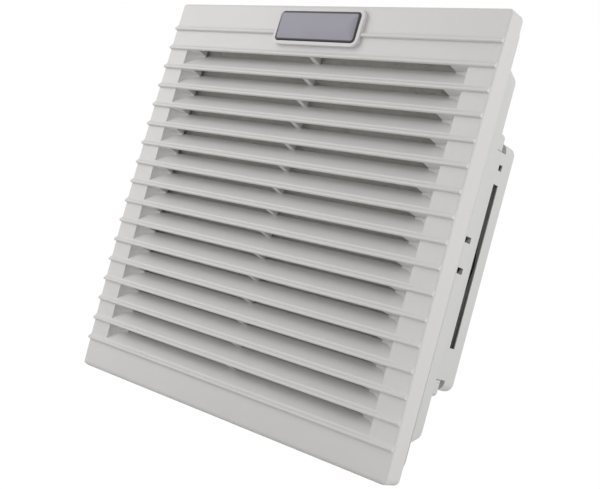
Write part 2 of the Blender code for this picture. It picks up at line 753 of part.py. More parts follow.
def catch_tongue(x):
    """A spring tongue on the flange's top with a nose in front of the cover's ledge."""
    top = FLANGE_TOP - CATCH_INSET
    bottom = top - CATCH_THICKNESS
    root = FLANGE_FRONT_Y + BITE
    front = FLANGE_FRONT_Y - CATCH_REACH
    outline = [
        (root, bottom),
        (front, bottom),
        (front, bottom + CATCH_THICKNESS * 0.6),
        (front + CATCH_NOSE, CATCH_NOSE_TOP),
        (front + 2 * CATCH_NOSE, CATCH_NOSE_TOP),
        (front + 3 * CATCH_NOSE, top),
        (root, top),
    ]
    return prism(outline, x - CATCH_WIDTH / 2, x + CATCH_WIDTH / 2, axis="X")


def tongue_slots():
    """Slots on both sides of the spring tongue in the middle of each body wall."""
    near = BODY_INNER - GRID_LEDGE - OVERCUT / 2
    far = BODY_HALF + OVERCUT
    end = BACK_PLATE_Y - CLEARANCE
    start = end - TONGUE_SLOT_LENGTH
    slots = []
    for side in range(4):
        for edge in (-1, 1):
            low, high = sorted((edge * TONGUE_WIDTH / 2, edge * (TONGUE_WIDTH / 2 + TONGUE_SLOT_WIDTH)))
            slots.append(turn_about_y(box((near, start, low), (far, end, high)), side * pi / 2))
    return slots


def tongue_barbs():
    """The ramp in the middle of each body wall that grips behind the panel's cut edge."""
    base = BODY_HALF - BITE
    end = PANEL_THICKNESS + TONGUE_LENGTH
    tip = (BODY_HALF + TONGUE_BARB, PANEL_THICKNESS + TONGUE_BARB_RISE)
    ramp = [(base, PANEL_THICKNESS), tip, (base, end)]
    half = TONGUE_WIDTH / 2 - BITE
    return [turn_about_y(prism(ramp, -half, half, axis="Z"), side * pi / 2) for side in range(4)]


def hook_places():
    """(X, side) of the four hooks over the housing's upper and lower wall."""
    return [(x, side) for x in (-HOOK_SPACING / 2, HOOK_SPACING / 2) for side in (1, -1)]


def housing_hooks():
    """Four arms behind the rear plate, each with a barb that drops into a window of the housing."""
    near = HOUSING_HALF_HEIGHT + CLEARANCE
    far = near + HOOK_THICKNESS
    root = BODY_DEPTH - BITE
    end = BODY_DEPTH + HOOK_LENGTH
    barb = end - HOOK_TIP - HOOK_BARB_LENGTH
    shape = [
        (root, near),
        (barb, near),
        (barb, near - CLEARANCE - HOOK_BARB),
        (barb + HOOK_BARB_LENGTH, near),
        (end, near),
        (end, near + HOOK_THICKNESS / 2),
        (end - HOOK_TIP * 0.4, far + HOOK_NOSE),
        (end - HOOK_TIP, far),
        (root, far),
    ]
    hooks = []
    for x, side in hook_places():
        outline = [(y, side * z) for y, z in shape]
        hooks.append(prism(outline, x - HOOK_WIDTH / 2, x + HOOK_WIDTH / 2, axis="X"))
    return hooks


def hook_windows():
    """The housing's windows for the hooks' barbs."""
    end = BODY_DEPTH + HOOK_LENGTH - HOOK_TIP + CLEARANCE
    start = end - HOOK_BARB_LENGTH - 2 * CLEARANCE
    low = HOUSING_HALF_HEIGHT - HOUSING_WALL - OVERCUT / 2
    high = HOUSING_HALF_HEIGHT + OVERCUT
    half = HOOK_WIDTH / 2 + CLEARANCE
    windows = []
    for x, side in hook_places():
        bottom, top = sorted((side * low, side * high))
        windows.append(box((x - half, start, bottom), (x + half, end, top)))
    return windows


def make_gasket(material):
    """Foam strip in the flange's groove. Its rear face is the panel plane."""
    front = -GASKET_THICKNESS - GASKET_GROOVE + CLEARANCE
    return object_from("flange_gasket", gasket_ring(0.0, front, 0.0), material)


def make_mat(material):
    """The fleece mat, filling the frame's tray from the grid to just behind the louvres."""
    half = BODY_INNER - MAT_FIT
    outline = rounded_rectangle(half, half, corner=BODY_INNER_CORNER - MAT_FIT)
    return object_from("filter_mat", prism(outline, MAT_FRONT_Y, MAT_BACK_Y), material)


def make_grid(material):
    """A flat grid of square holes that backs the mat, with round outer corners."""
    half = BODY_INNER - CLEARANCE
    clear = 2 * (half - GRID_RIM)
    hole = (clear - (GRID_HOLES - 1) * GRID_BAR) / GRID_HOLES
    lines = [-half]
    for i in range(GRID_HOLES):
        start = -half + GRID_RIM + i * (hole + GRID_BAR)
        lines += [start, start + hole]
    lines.append(half)
    mesh = bmesh.new()
    verts = [[mesh.verts.new((x, GRID_FRONT_Y, z)) for z in lines] for x in lines]
    for i in range(len(lines) - 1):
        for j in range(len(lines) - 1):
            if i % 2 == 0 or j % 2 == 0:
                mesh.faces.new((verts[i][j], verts[i + 1][j], verts[i + 1][j + 1], verts[i][j + 1]))
    push(mesh, (0, GRID_THICKNESS, 0))
    grid = object_from("filter_grid", mesh, material)
    corners = rounded_rectangle(half, half, corner=BODY_INNER_CORNER - CLEARANCE)
    keep(grid, prism(corners, GRID_FRONT_Y - OVERCUT, GRID_BACK_Y + OVERCUT))
    return grid


def make_housing(material):
    """The box round the fan: four walls, a sunk outlet plate, side slots, holes and hook windows."""
    outline = rounded_rectangle(HOUSING_HALF_WIDTH, HOUSING_HALF_HEIGHT, corner=HOUSING_CORNER)
    inner_width = HOUSING_HALF_WIDTH - HOUSING_WALL
    inner_height = HOUSING_HALF_HEIGHT - HOUSING_WALL
    inside = rounded_rectangle(inner_width, inner_height, corner=HOUSING_CORNER - HOUSING_WALL)
    housing = object_from("rear_housing", prism(outline, HOUSING_FRONT_Y, HOUSING_REAR_Y), material)
    cut(housing, prism(inside, HOUSING_FRONT_Y - OVERCUT, OUTLET_PLATE_FRONT_Y))
    cut(housing, prism(inside, OUTLET_PLATE_REAR_Y, HOUSING_REAR_Y + OVERCUT))

    plate_start, plate_end = OUTLET_PLATE_FRONT_Y - OVERCUT, OUTLET_PLATE_REAR_Y + OVERCUT
    holes = [prism(circle(FAN_MOUTH_RADIUS, 40), plate_start, plate_end)]
    holes += [prism(circle(FAN_HOLE_RADIUS, 12, place), plate_start, plate_end) for place in bolt_places()]
    slot_y = HOUSING_REAR_Y - SIDE_SLOT_FROM_REAR
    holes.append(side_cut(slot_y, 0.0, SIDE_SLOT_WIDTH, SIDE_SLOT_LENGTH))
    holes += [side_cut(slot_y, z, SIDE_HOLE, SIDE_HOLE) for z in (SIDE_HOLE_Z, -SIDE_HOLE_Z)]
    wall_start, wall_end = -HOUSING_HALF_WIDTH - OVERCUT, -HOUSING_HALF_WIDTH + HOUSING_WALL + OVERCUT
    for side in (-1, 1):
        fixing = circle(FIXING_RADIUS + CLEARANCE, 10, (TERMINAL_Y, TERMINAL_Z + side * TERMINAL_FOOT_Z))
        holes.append(prism(fixing, wall_start, wall_end, axis="X"))
    cut(housing, *holes)
    cut(housing, *hook_windows())
    clean(housing)
    return housing


def side_cut(y, z, depth, height):
    """A box through both side walls of the housing."""
    reach = HOUSING_HALF_WIDTH + OVERCUT
    return box((-reach, y - depth / 2, z - height / 2), (reach, y + depth / 2, z + height / 2))


def bolt_places():
    """(X, Z) of the fan's four screws."""
    return [(sx * BOLT_OFFSET, sz * BOLT_OFFSET) for sx in (-1, 1) for sz in (-1, 1)]


# Fan

def make_fan_frame(material):
    """Die-cast ring with bell mouths, two flanges with flats, struts, motor plate and bearing tube."""
    duct_outer = FAN_DUCT_RADIUS + FAN_DUCT_WALL
    profile = [
        (FAN_RADIUS, FAN_FRONT_Y),
        (FAN_RADIUS, FAN_FRONT_Y + FAN_FLANGE),
        (duct_outer + FAN_FILLET, FAN_FRONT_Y + FAN_FLANGE),
        (duct_outer, FAN_FRONT_Y + FAN_FLANGE + FAN_FILLET),
        (duct_outer, FAN_REAR_Y - FAN_FLANGE - FAN_FILLET),
        (duct_outer + FAN_FILLET, FAN_REAR_Y - FAN_FLANGE),
        (FAN_RADIUS, FAN_REAR_Y - FAN_FLANGE),
        (FAN_RADIUS, FAN_REAR_Y),
        (FAN_MOUTH_RADIUS, FAN_REAR_Y),
        (FAN_DUCT_RADIUS, FAN_REAR_Y - FAN_OUTLET_BELL_DEPTH),
        (FAN_DUCT_RADIUS, FAN_FRONT_Y + FAN_INLET_BELL_DEPTH),
        (FAN_DUCT_RADIUS + FAN_BELL * 0.7, FAN_FRONT_Y + FAN_INLET_BELL_DEPTH * 0.3),
        (FAN_MOUTH_RADIUS, FAN_FRONT_Y),
    ]
    frame = object_from("fan_frame", turned(profile, 36), material)
    reach = FAN_RADIUS + OVERCUT
    low = (-reach, FAN_FRONT_Y - OVERCUT, -FAN_FLAT_HALF)
    high = (reach, FAN_REAR_Y + OVERCUT, FAN_FLAT_HALF)
    keep(frame, box(low, high))
    add(frame, motor_mount())
    holes = []
    for place in bolt_places():
        hole = circle(FAN_HOLE_RADIUS, 10, place)
        holes.append(prism(hole, FAN_FRONT_Y - OVERCUT, FAN_FRONT_Y + FAN_FLANGE + OVERCUT))
        holes.append(prism(hole, FAN_REAR_Y - FAN_FLANGE - OVERCUT, FAN_REAR_Y + OVERCUT))
    cut(frame, *holes)
    clean(frame)
    smooth_round(frame)
    return frame


def motor_mount():
    """The motor plate with its bearing tube and the struts that carry it in the duct, as one bmesh."""
    plate_front = FAN_REAR_Y - MOTOR_PLATE_THICKNESS - BITE
    plate_rear = FAN_REAR_Y - BITE
    profile = [
        (MOTOR_PLATE_RADIUS, plate_front),
        (MOTOR_PLATE_RADIUS - FAN_FILLET, plate_rear),
        (BEARING_TUBE_BORE, plate_rear),
        (BEARING_TUBE_BORE, ROTOR_BOSS_BACK_Y),
        (BEARING_TUBE_RADIUS, ROTOR_BOSS_BACK_Y),
        (BEARING_TUBE_RADIUS, plate_front),
    ]
    mount = object_from("motor_mount", turned(profile, 20))
    low = (MOTOR_PLATE_RADIUS - STRUT_DEPTH, FAN_REAR_Y - STRUT_DEPTH, -STRUT_WIDTH / 2)
    high = (FAN_DUCT_RADIUS + FAN_DUCT_WALL / 2, FAN_REAR_Y - STRUT_SETBACK, STRUT_WIDTH / 2)
    add(mount, *[turn_about_y(box(low, high), 2 * pi * i / STRUT_COUNT) for i in range(STRUT_COUNT)])
    mesh = bmesh.new()
    mesh.from_mesh(mount.data)
    bpy.data.objects.remove(mount)
    return mesh


def ring_section(inner, outer, front, rear, chamfer=0.0):
    """Section of a plain ring, with an optional chamfer on its outer edges."""
    if chamfer <= 0:
        return [(inner, front), (outer, front), (outer, rear), (inner, rear)]
    return [
        (inner, front),
        (outer - chamfer, front),
        (outer, front + chamfer),
        (outer, rear - chamfer),
        (outer - chamfer, rear),
        (inner, rear),
    ]


def make_bearings(steel):
    """The two ball bearings in the tube and the wave washer that preloads the rear one."""
    bore = SHAFT_RADIUS + RUNNING_GAP
    places = (("front_bearing", ROTOR_BOSS_BACK_Y + BEARING_SINK), ("rear_bearing", REAR_BEARING_Y))
    for name, start in places:
        section = ring_section(bore, BEARING_RADIUS, start, start + BEARING_WIDTH, BEARING_CHAMFER)
        smooth_round(object_from(name, turned(section, 16), steel))
    rear = REAR_BEARING_Y - CLEARANCE
    outer = BEARING_RADIUS - CLEARANCE
    section = ring_section(outer - WASHER_WIDTH, outer, rear - WASHER_THICKNESS, rear)
    smooth_round(object_from("wave_washer", turned(section, 16), steel))


def make_shaft(steel):
    """The shaft with its groove, and the retaining ring in the groove."""
    groove = REAR_BEARING_Y + BEARING_WIDTH + CLEARANCE
    groove_end = groove + SHAFT_GROOVE_WIDTH
    floor = SHAFT_RADIUS - SHAFT_GROOVE_DEPTH
    front = ROTOR_FRONT_Y - CLEARANCE
    rear = REAR_BEARING_Y + BEARING_WIDTH + SHAFT_REST
    profile = [
        (0, front),
        (SHAFT_RADIUS, front),
        (SHAFT_RADIUS, groove),
        (floor, groove),
        (floor, groove_end),
        (SHAFT_RADIUS, groove_end),
        (SHAFT_RADIUS, rear),
        (0, rear),
    ]
    shaft = object_from("motor_shaft", turned(profile, 16), steel)
    inset = SHAFT_GROOVE_WIDTH / 5
    bore = floor + CLEARANCE
    section = ring_section(bore, bore + RING_WIDTH, groove + inset, groove_end - inset)
    ring = object_from("retaining_ring", turned(section, 16), steel)
    smooth_round(shaft)
    smooth_round(ring)
    return shaft, ring


def tooth_outline(tooth):
    """Points of one stator tooth and the slot after it, as (X, Z)."""
    pitch = 2 * pi / STATOR_TEETH
    middle = pitch * tooth
    mouth = STATOR_SLOT_MOUTH / 2 / STATOR_RADIUS
    yoke = STATOR_BORE + STATOR_YOKE
    shoulder = (STATOR_RADIUS - STATOR_TIP + yoke) / 2
    tip = STATOR_RADIUS - STATOR_TIP
    places = (
        (-pitch / 2 + mouth, STATOR_RADIUS),
        (0.0, STATOR_RADIUS),
        (pitch / 2 - mouth, STATOR_RADIUS),
        (pitch / 2 - mouth, tip),
        (pitch * 0.2, shoulder),
        (pitch * 0.26, yoke),
        (pitch * 0.74, yoke),
        (pitch * 0.8, shoulder),
        (pitch / 2 + mouth, tip),
    )
    return [(radius * cos(middle + angle), radius * sin(middle + angle)) for angle, radius in places]


def make_stator(steel, copper):
    """The toothed stator core on the bearing tube and the two winding ends."""
    outline = []
    for tooth in range(STATOR_TEETH):
        outline += tooth_outline(tooth)
    core = prism(outline, STATOR_FRONT_Y, STATOR_REAR_Y, holes=[circle(STATOR_BORE, 24)])
    object_from("stator_core", core, steel)
    inner = STATOR_BORE + WINDING_BORE_INSET
    outer = STATOR_RADIUS - WINDING_INSET
    edge = WINDING_LENGTH * 0.4
    ends = (("winding_front", STATOR_FRONT_Y - CLEARANCE, -1), ("winding_rear", STATOR_REAR_Y + CLEARANCE, 1))
    for name, start, way in ends:
        bulge = start + way * (WINDING_LENGTH - edge)
        end = start + way * WINDING_LENGTH
        section = [(inner, start), (outer, start), (outer, bulge)]
        section += [(outer - edge, end), (inner + edge, end), (inner, bulge)]
        smooth_round(object_from(name, turned(section, 20), copper))


def make_rotor(rotor_paint, aluminium):
    """The external rotor's steel cup with its boss, and the cast cage inside it."""
    press_bore = SHAFT_RADIUS + CLEARANCE
    profile = [
        (press_bore, ROTOR_FRONT_Y),
        (ROTOR_RADIUS - ROTOR_DISH, ROTOR_FRONT_Y),
        (ROTOR_RADIUS - ROTOR_DISH * 0.3, ROTOR_FRONT_Y + ROTOR_DISH * 0.3),
        (ROTOR_RADIUS, ROTOR_FRONT_Y + ROTOR_DISH),
        (ROTOR_RADIUS, ROTOR_BACK_Y),
        (ROTOR_BORE, ROTOR_BACK_Y),
        (ROTOR_BORE, ROTOR_FRONT_Y + ROTOR_DISH),
        (ROTOR_BORE - ROTOR_DISH, ROTOR_FRONT_Y + ROTOR_WALL),
        (ROTOR_BOSS_RADIUS, ROTOR_FRONT_Y + ROTOR_WALL),
        (ROTOR_BOSS_RADIUS, ROTOR_BOSS_BACK_Y),
        (press_bore, ROTOR_BOSS_BACK_Y),
    ]
    cup = object_from("rotor_cup", turned(profile, 28), rotor_paint)
    front, rear = STATOR_FRONT_Y - CAGE_OVERHANG, STATOR_REAR_Y + CAGE_OVERHANG
    section = ring_section(CAGE_BORE, ROTOR_BORE - CLEARANCE, front, rear)
    cage = object_from("rotor_cage", turned(section, 28), aluminium)
    smooth_round(cup)
    smooth_round(cage)
    return cup, cage


def blade(index):
    """One twisted blade, lofted through sections that lie on cylinders about the fan's axis."""
    mesh = bmesh.new()
    stations, steps = 4, 5
    root = HUB_RADIUS - HUB_WALL / 2
    sections = []
    for k in range(stations):
        share = k / (stations - 1)
        radius = root + (BLADE_TIP_RADIUS - root) * share
        chord = BLADE_ROOT_CHORD + (BLADE_TIP_CHORD - BLADE_ROOT_CHORD) * share
        angle = radians(BLADE_ROOT_ANGLE + (BLADE_TIP_ANGLE - BLADE_ROOT_ANGLE) * share)
        lean = radians(BLADE_SWEEP) * share + 2 * pi * index / BLADE_COUNT
        upper, lower = [], []
        for i in range(steps + 1):
            along = (i / steps - 0.5) * chord
            camber = BLADE_CAMBER * chord * (1 - (2 * i / steps - 1) ** 2)
            half_thick = BLADE_THICKNESS / 2 * blade_fullness(i / steps)
            for side, store in ((1, upper), (-1, lower)):
                across = camber + side * half_thick
                tangent = along * sin(angle) - across * cos(angle)
                axial = along * cos(angle) + across * sin(angle)
                turn = tangent / radius + lean
                store.append((radius * cos(turn), HUB_MIDDLE_Y + axial, radius * sin(turn)))
        sections.append([mesh.verts.new(point) for point in upper + lower[::-1]])
    count = len(sections[0])
    for near, far in zip(sections, sections[1:]):
        for i in range(count):
            mesh.faces.new((near[i - 1], near[i], far[i], far[i - 1]))
    for section in (sections[0], sections[-1]):
        for i in range(steps):
            mesh.faces.new((section[i], section[i + 1], section[count - 2 - i], section[count - 1 - i]))
    bmesh.ops.recalc_face_normals(mesh, faces=mesh.faces)
    return mesh


def blade_fullness(share):
    """Thickness along the chord as a share of the fullest: a blunt nose, then a taper to a thin tail."""
    thin = 0.35
    fullest = 0.35
    if share < fullest:
        return thin + (1 - thin) * sin(pi / 2 * (0.3 + 0.7 * share / fullest))
    return thin + (1 - thin) * (1 - share) / (1 - fullest)


def make_impeller(material):
    """The moulded impeller: a hub ring on the rotor cup with seven swept blades."""
    front, rear = ROTOR_FRONT_Y + HUB_END_INSET, ROTOR_BACK_Y - HUB_END_INSET
    hub = turned(ring_section(HUB_BORE, HUB_RADIUS, front, rear, HUB_CHAMFER), 35)
    impeller = object_from("impeller", hub, material)
    add(impeller, *[blade(i) for i in range(BLADE_COUNT)])
    clean(impeller)
    smooth_round(impeller, 40)
    return impeller


def make_guard(material):
    """Wire finger guard: rings welded in front of two crossed wires that end in screw eyes."""
    ring_y = GUARD_WIRE_Y - GUARD_WIRE * 1.4
    last_radius = FAN_MOUTH_RADIUS - GUARD_EDGE_INSET
    rings = []
    for k in range(GUARD_RINGS):
        radius = GUARD_FIRST_RADIUS + (last_radius - GUARD_FIRST_RADIUS) * k / (GUARD_RINGS - 1)
        rings.append(turn_about_y(turned(circle(GUARD_WIRE, 5, (radius, ring_y)), 14 + 4 * k), 0.03))
    guard = object_from("finger_guard", joined(rings), material)
    reach = FAN_RADIUS - FAN_BOLT_EDGE - GUARD_EYE_RADIUS + BITE
    section = circle(GUARD_WIRE, 6, (0, GUARD_WIRE_Y), turn=0.2)
    for turn in (pi / 4, -pi / 4):
        add(guard, turn_about_y(prism(section, -reach, reach, axis="Z"), turn))
    eyes = []
    for place in bolt_places():
        outer = circle(GUARD_EYE_RADIUS, 12, place, turn=0.1)
        hole = circle(FAN_HOLE_RADIUS, 12, place, turn=0.1)
        front, rear = GUARD_WIRE_Y - GUARD_WIRE * 0.9, GUARD_WIRE_Y + GUARD_WIRE * 0.7
        eyes.append(prism(outer, front, rear, holes=[hole]))
    add(guard, *eyes)
    clean(guard)
    smooth_round(guard, 50)
    return guard


def make_fasteners(steel):
    """The four screws through guard, outlet plate and fan flange, and their nuts."""
    head_y = GUARD_WIRE_Y + GUARD_WIRE * 0.7 + CLEARANCE
    nut_rear = FAN_REAR_Y - FAN_FLANGE - CLEARANCE
    nut_front = nut_rear - NUT_HEIGHT
    tip_y = nut_front - SCREW_TIP
    profile = [
        (0, tip_y),
        (SCREW_RADIUS * 0.7, tip_y),
        (SCREW_RADIUS, tip_y + SCREW_RADIUS * 0.3),
        (SCREW_RADIUS, head_y),
        (SCREW_HEAD_RADIUS, head_y),
        (SCREW_HEAD_RADIUS, head_y + SCREW_HEAD_HEIGHT * 0.5),
        (SCREW_HEAD_RADIUS * 0.7, head_y + SCREW_HEAD_HEIGHT * 0.9),
        (0, head_y + SCREW_HEAD_HEIGHT),
    ]
    names = ("lower_left", "upper_left", "lower_right", "upper_right")
    for (x, z), place in zip(bolt_places(), names):
        screw = object_from(f"guard_screw_{place}", moved_by(turned(profile, 8), (x, 0, z)), steel)
        smooth_round(screw)
        corners = circle(NUT_ACROSS_FLATS / 2 / cos(pi / 6), 6, (x, z))
        hole = circle(SCREW_RADIUS + CLEARANCE, 10, (x, z))
        object_from(f"guard_nut_{place}", prism(corners, nut_front, nut_rear, holes=[hole]), steel)


# Terminals

def pole_places():
    """Z of each pole of the terminal block."""
    pitch = TERMINAL_WIDTH / TERMINAL_POLES
    return [TERMINAL_Z + (pole - (TERMINAL_POLES - 1) / 2) * pitch for pole in range(TERMINAL_POLES)]


def make_terminal_block(plastic):
    """Terminal block with two feet, a well for each clamp screw and a wire entry on both sides of it."""
    back = -HOUSING_HALF_WIDTH - CLEARANCE
    front = back - TERMINAL_HEIGHT
    half = TERMINAL_LENGTH / 2
    low = (front, TERMINAL_Y - half, TERMINAL_Z - TERMINAL_WIDTH / 2)
    high = (back, TERMINAL_Y + half, TERMINAL_Z + TERMINAL_WIDTH / 2)
    block = object_from("terminal_block", box(low, high), plastic)
    foot_reach = TERMINAL_WIDTH / 2 + TERMINAL_FOOT_LENGTH
    low = (back - TERMINAL_FOOT_THICKNESS, TERMINAL_Y - TERMINAL_FOOT_WIDTH / 2, TERMINAL_Z - foot_reach)
    high = (back, TERMINAL_Y + TERMINAL_FOOT_WIDTH / 2, TERMINAL_Z + foot_reach)
    add(block, box(low, high))
    cuts = []
    for z in pole_places():
        well = circle(TERMINAL_WELL_RADIUS, 12, (TERMINAL_Y, z))
        cuts.append(prism(well, front - OVERCUT, front + TERMINAL_WELL_DEPTH, axis="X"))
        entry = circle(TERMINAL_ENTRY_RADIUS, 10, (back - TERMINAL_ENTRY_HEIGHT, z))
        cuts.append(prism(entry, TERMINAL_Y - half - OVERCUT, TERMINAL_Y - half + TERMINAL_ENTRY_DEPTH))
        cuts.append(prism(entry, TERMINAL_Y + half - TERMINAL_ENTRY_DEPTH, TERMINAL_Y + half + OVERCUT))
    for side in (-1, 1):
        hole = circle(FIXING_RADIUS + CLEARANCE, 10, (TERMINAL_Y, TERMINAL_Z + side * TERMINAL_FOOT_Z))
        cuts.append(prism(hole, back - TERMINAL_FOOT_THICKNESS - OVERCUT, back + OVERCUT, axis="X"))
    cut(block, *cuts)
    clean(block)


def make_terminal_screws(steel, brass):
    """The slotted clamp screws in their wells, and the two screws that fix the block to the housing."""
    back = -HOUSING_HALF_WIDTH - CLEARANCE
    floor = back - TERMINAL_HEIGHT + TERMINAL_WELL_DEPTH - CLEARANCE
    top = floor - TERMINAL_SCREW_HEIGHT
    slot = TERMINAL_SCREW_SLOT
    for pole, z in enumerate(pole_places(), start=1):
        outline = circle(TERMINAL_SCREW_RADIUS, 12, (TERMINAL_Y, z))
        screw = object_from(f"clamp_screw_{pole}", prism(outline, top, floor, axis="X"), brass)
        low = (top - OVERCUT, TERMINAL_Y - slot / 2, z - TERMINAL_SCREW_RADIUS - OVERCUT)
        high = (top + slot, TERMINAL_Y + slot / 2, z + TERMINAL_SCREW_RADIUS + OVERCUT)
        cut(screw, box(low, high))
    head = back - TERMINAL_FOOT_THICKNESS - CLEARANCE
    for side, place in ((-1, "lower"), (1, "upper")):
        middle = (TERMINAL_Y, TERMINAL_Z + side * TERMINAL_FOOT_Z)
        shank = prism(circle(FIXING_RADIUS, 10, middle), head - BITE, back + FIXING_LENGTH, axis="X")
        screw = object_from(f"terminal_screw_{place}", shank, steel)
        add(screw, prism(circle(FIXING_HEAD_RADIUS, 12, middle), head - FIXING_HEAD_HEIGHT, head, axis="X"))
        clean(screw)


def make_earth_tab(brass):
    """The flat earth tab with its foot, above the terminal block."""
    back = -HOUSING_HALF_WIDTH - CLEARANCE
    low_z = TERMINAL_Z + TERMINAL_WIDTH / 2 + TERMINAL_FOOT_LENGTH + EARTH_TAB_GAP
    high_z = low_z + EARTH_TAB_WIDTH
    blade_rear = TERMINAL_Y + EARTH_TAB_THICKNESS
    tab_blade = box((back - EARTH_TAB_LENGTH, TERMINAL_Y, low_z), (back, blade_rear, high_z))
    tab = object_from("earth_tab", tab_blade, brass)
    low = (back - EARTH_TAB_THICKNESS, TERMINAL_Y - EARTH_TAB_FOOT, low_z)
    add(tab, box(low, (back, blade_rear - EARTH_TAB_THICKNESS / 2, high_z)))
    clean(tab)


def main():
    """Builds every piece and hangs the moving ones on their axes."""
    for old in list(bpy.data.objects):
        bpy.data.objects.remove(old)
    cover_grey = make_material("cover_grey", (0.62, 0.61, 0.61), 0.5)
    housing_grey = make_material("housing_grey", (0.60, 0.60, 0.58), 0.5)
    badge_metal = make_material("badge_metal", (0.22, 0.21, 0.25), 0.35, 0.8)
    fleece = make_material("fleece", (0.30, 0.29, 0.27), 0.95)
    foam = make_material("foam", (0.05, 0.05, 0.05), 0.9)
    cast_metal = make_material("cast_metal", (0.08, 0.08, 0.085), 0.5, 0.6)
    steel = make_material("steel", (0.6, 0.6, 0.6), 0.35, 1.0)
    copper = make_material("copper", (0.55, 0.25, 0.12), 0.4, 1.0)
    rotor_paint = make_material("rotor_paint", (0.04, 0.04, 0.04), 0.5)
    aluminium = make_material("aluminium", (0.7, 0.7, 0.72), 0.4, 1.0)
    black_plastic = make_material("black_plastic", (0.03, 0.03, 0.03), 0.5)
    brass = make_material("brass", (0.65, 0.5, 0.2), 0.35, 1.0)

    cover_hinge = empty_at("cover_hinge", (0, HINGE_Y, HINGE_Z))
    for piece in (make_cover(cover_grey), make_badge(badge_metal)):
        carry(piece, cover_hinge)
    make_frame(housing_grey)
    make_gasket(foam)
    make_mat(fleece)
    make_grid(housing_grey)
    make_housing(housing_grey)
    make_fan_frame(cast_metal)
    make_bearings(steel)
    make_stator(steel, copper)
    fan_axis = empty_at("fan_axis", (0, HUB_MIDDLE_Y, 0))
    for piece in (*make_shaft(steel), *make_rotor(rotor_paint, aluminium), make_impeller(black_plastic)):
        carry(piece, fan_axis)
    make_guard(steel)
    make_fasteners(steel)
    make_terminal_block(black_plastic)
    make_terminal_screws(steel, brass)
    make_earth_tab(brass)


main()
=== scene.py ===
"""Looks of the filter fan: every piece's finish, its soft and fine parts, and the stage it is shown on."""
from math import cos, pi, radians, sin

import bmesh
import bpy
import numpy as np
from bpy.props import FloatProperty, FloatVectorProperty, IntProperty, PointerProperty
from bpy.types import Operator, Panel, PropertyGroup
from mathutils import Matrix, Vector


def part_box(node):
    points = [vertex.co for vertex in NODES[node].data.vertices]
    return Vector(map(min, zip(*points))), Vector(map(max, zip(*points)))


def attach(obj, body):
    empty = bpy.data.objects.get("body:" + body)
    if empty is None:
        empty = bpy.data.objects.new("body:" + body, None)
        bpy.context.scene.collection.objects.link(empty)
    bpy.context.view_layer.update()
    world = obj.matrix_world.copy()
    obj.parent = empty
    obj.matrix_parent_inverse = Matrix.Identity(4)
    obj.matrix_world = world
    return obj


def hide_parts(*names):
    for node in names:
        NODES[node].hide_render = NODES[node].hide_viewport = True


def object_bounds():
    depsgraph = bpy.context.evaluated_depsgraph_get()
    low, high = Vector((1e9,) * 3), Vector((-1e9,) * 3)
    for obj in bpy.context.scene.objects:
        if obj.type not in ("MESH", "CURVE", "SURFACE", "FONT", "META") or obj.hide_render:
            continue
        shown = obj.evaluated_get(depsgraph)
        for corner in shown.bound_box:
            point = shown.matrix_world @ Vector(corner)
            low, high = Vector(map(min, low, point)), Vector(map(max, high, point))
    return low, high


bl_info = {
    "name": "Filter fan",
    "version": (1, 0, 0),
    "blender": (4, 5, 0),
    "location": "3D View > Sidebar > Filter Fan",
    "description": "Gives a filter fan for a control cabinet its finishes, filter mat, fine parts and stage",
    "category": "Object",
}

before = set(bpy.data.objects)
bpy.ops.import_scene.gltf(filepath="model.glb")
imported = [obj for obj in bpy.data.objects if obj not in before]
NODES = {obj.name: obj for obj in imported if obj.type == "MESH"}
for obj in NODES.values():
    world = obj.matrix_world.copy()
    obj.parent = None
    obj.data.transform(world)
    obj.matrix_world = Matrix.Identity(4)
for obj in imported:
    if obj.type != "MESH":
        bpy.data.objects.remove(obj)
CAD_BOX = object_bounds()

WHITE = (1.0, 1.0, 1.0, 1.0)


# Shader maths and finishes

class Value:
    """A socket of a material's nodes. Sums, differences and products of values become Math nodes."""

    def __init__(self, finish, socket):
        self.finish = finish
        self.socket = socket

    def maths(self, operation, first, second):
        return self.finish.node("ShaderNodeMath", {"operation": operation}, {0: first, 1: second})

    def __add__(self, other):
        return self.maths("ADD", self, other)

    def __radd__(self, other):
        return self.maths("ADD", other, self)

    def __sub__(self, other):
        return self.maths("SUBTRACT", self, other)

    def __rsub__(self, other):
        return self.maths("SUBTRACT", other, self)

    def __mul__(self, other):
        return self.maths("MULTIPLY", self, other)

    def __rmul__(self, other):
        return self.maths("MULTIPLY", other, self)

    def clamped(self):
        """The value held between 0 and 1."""
        return self.finish.node("ShaderNodeClamp", {}, {0: self})


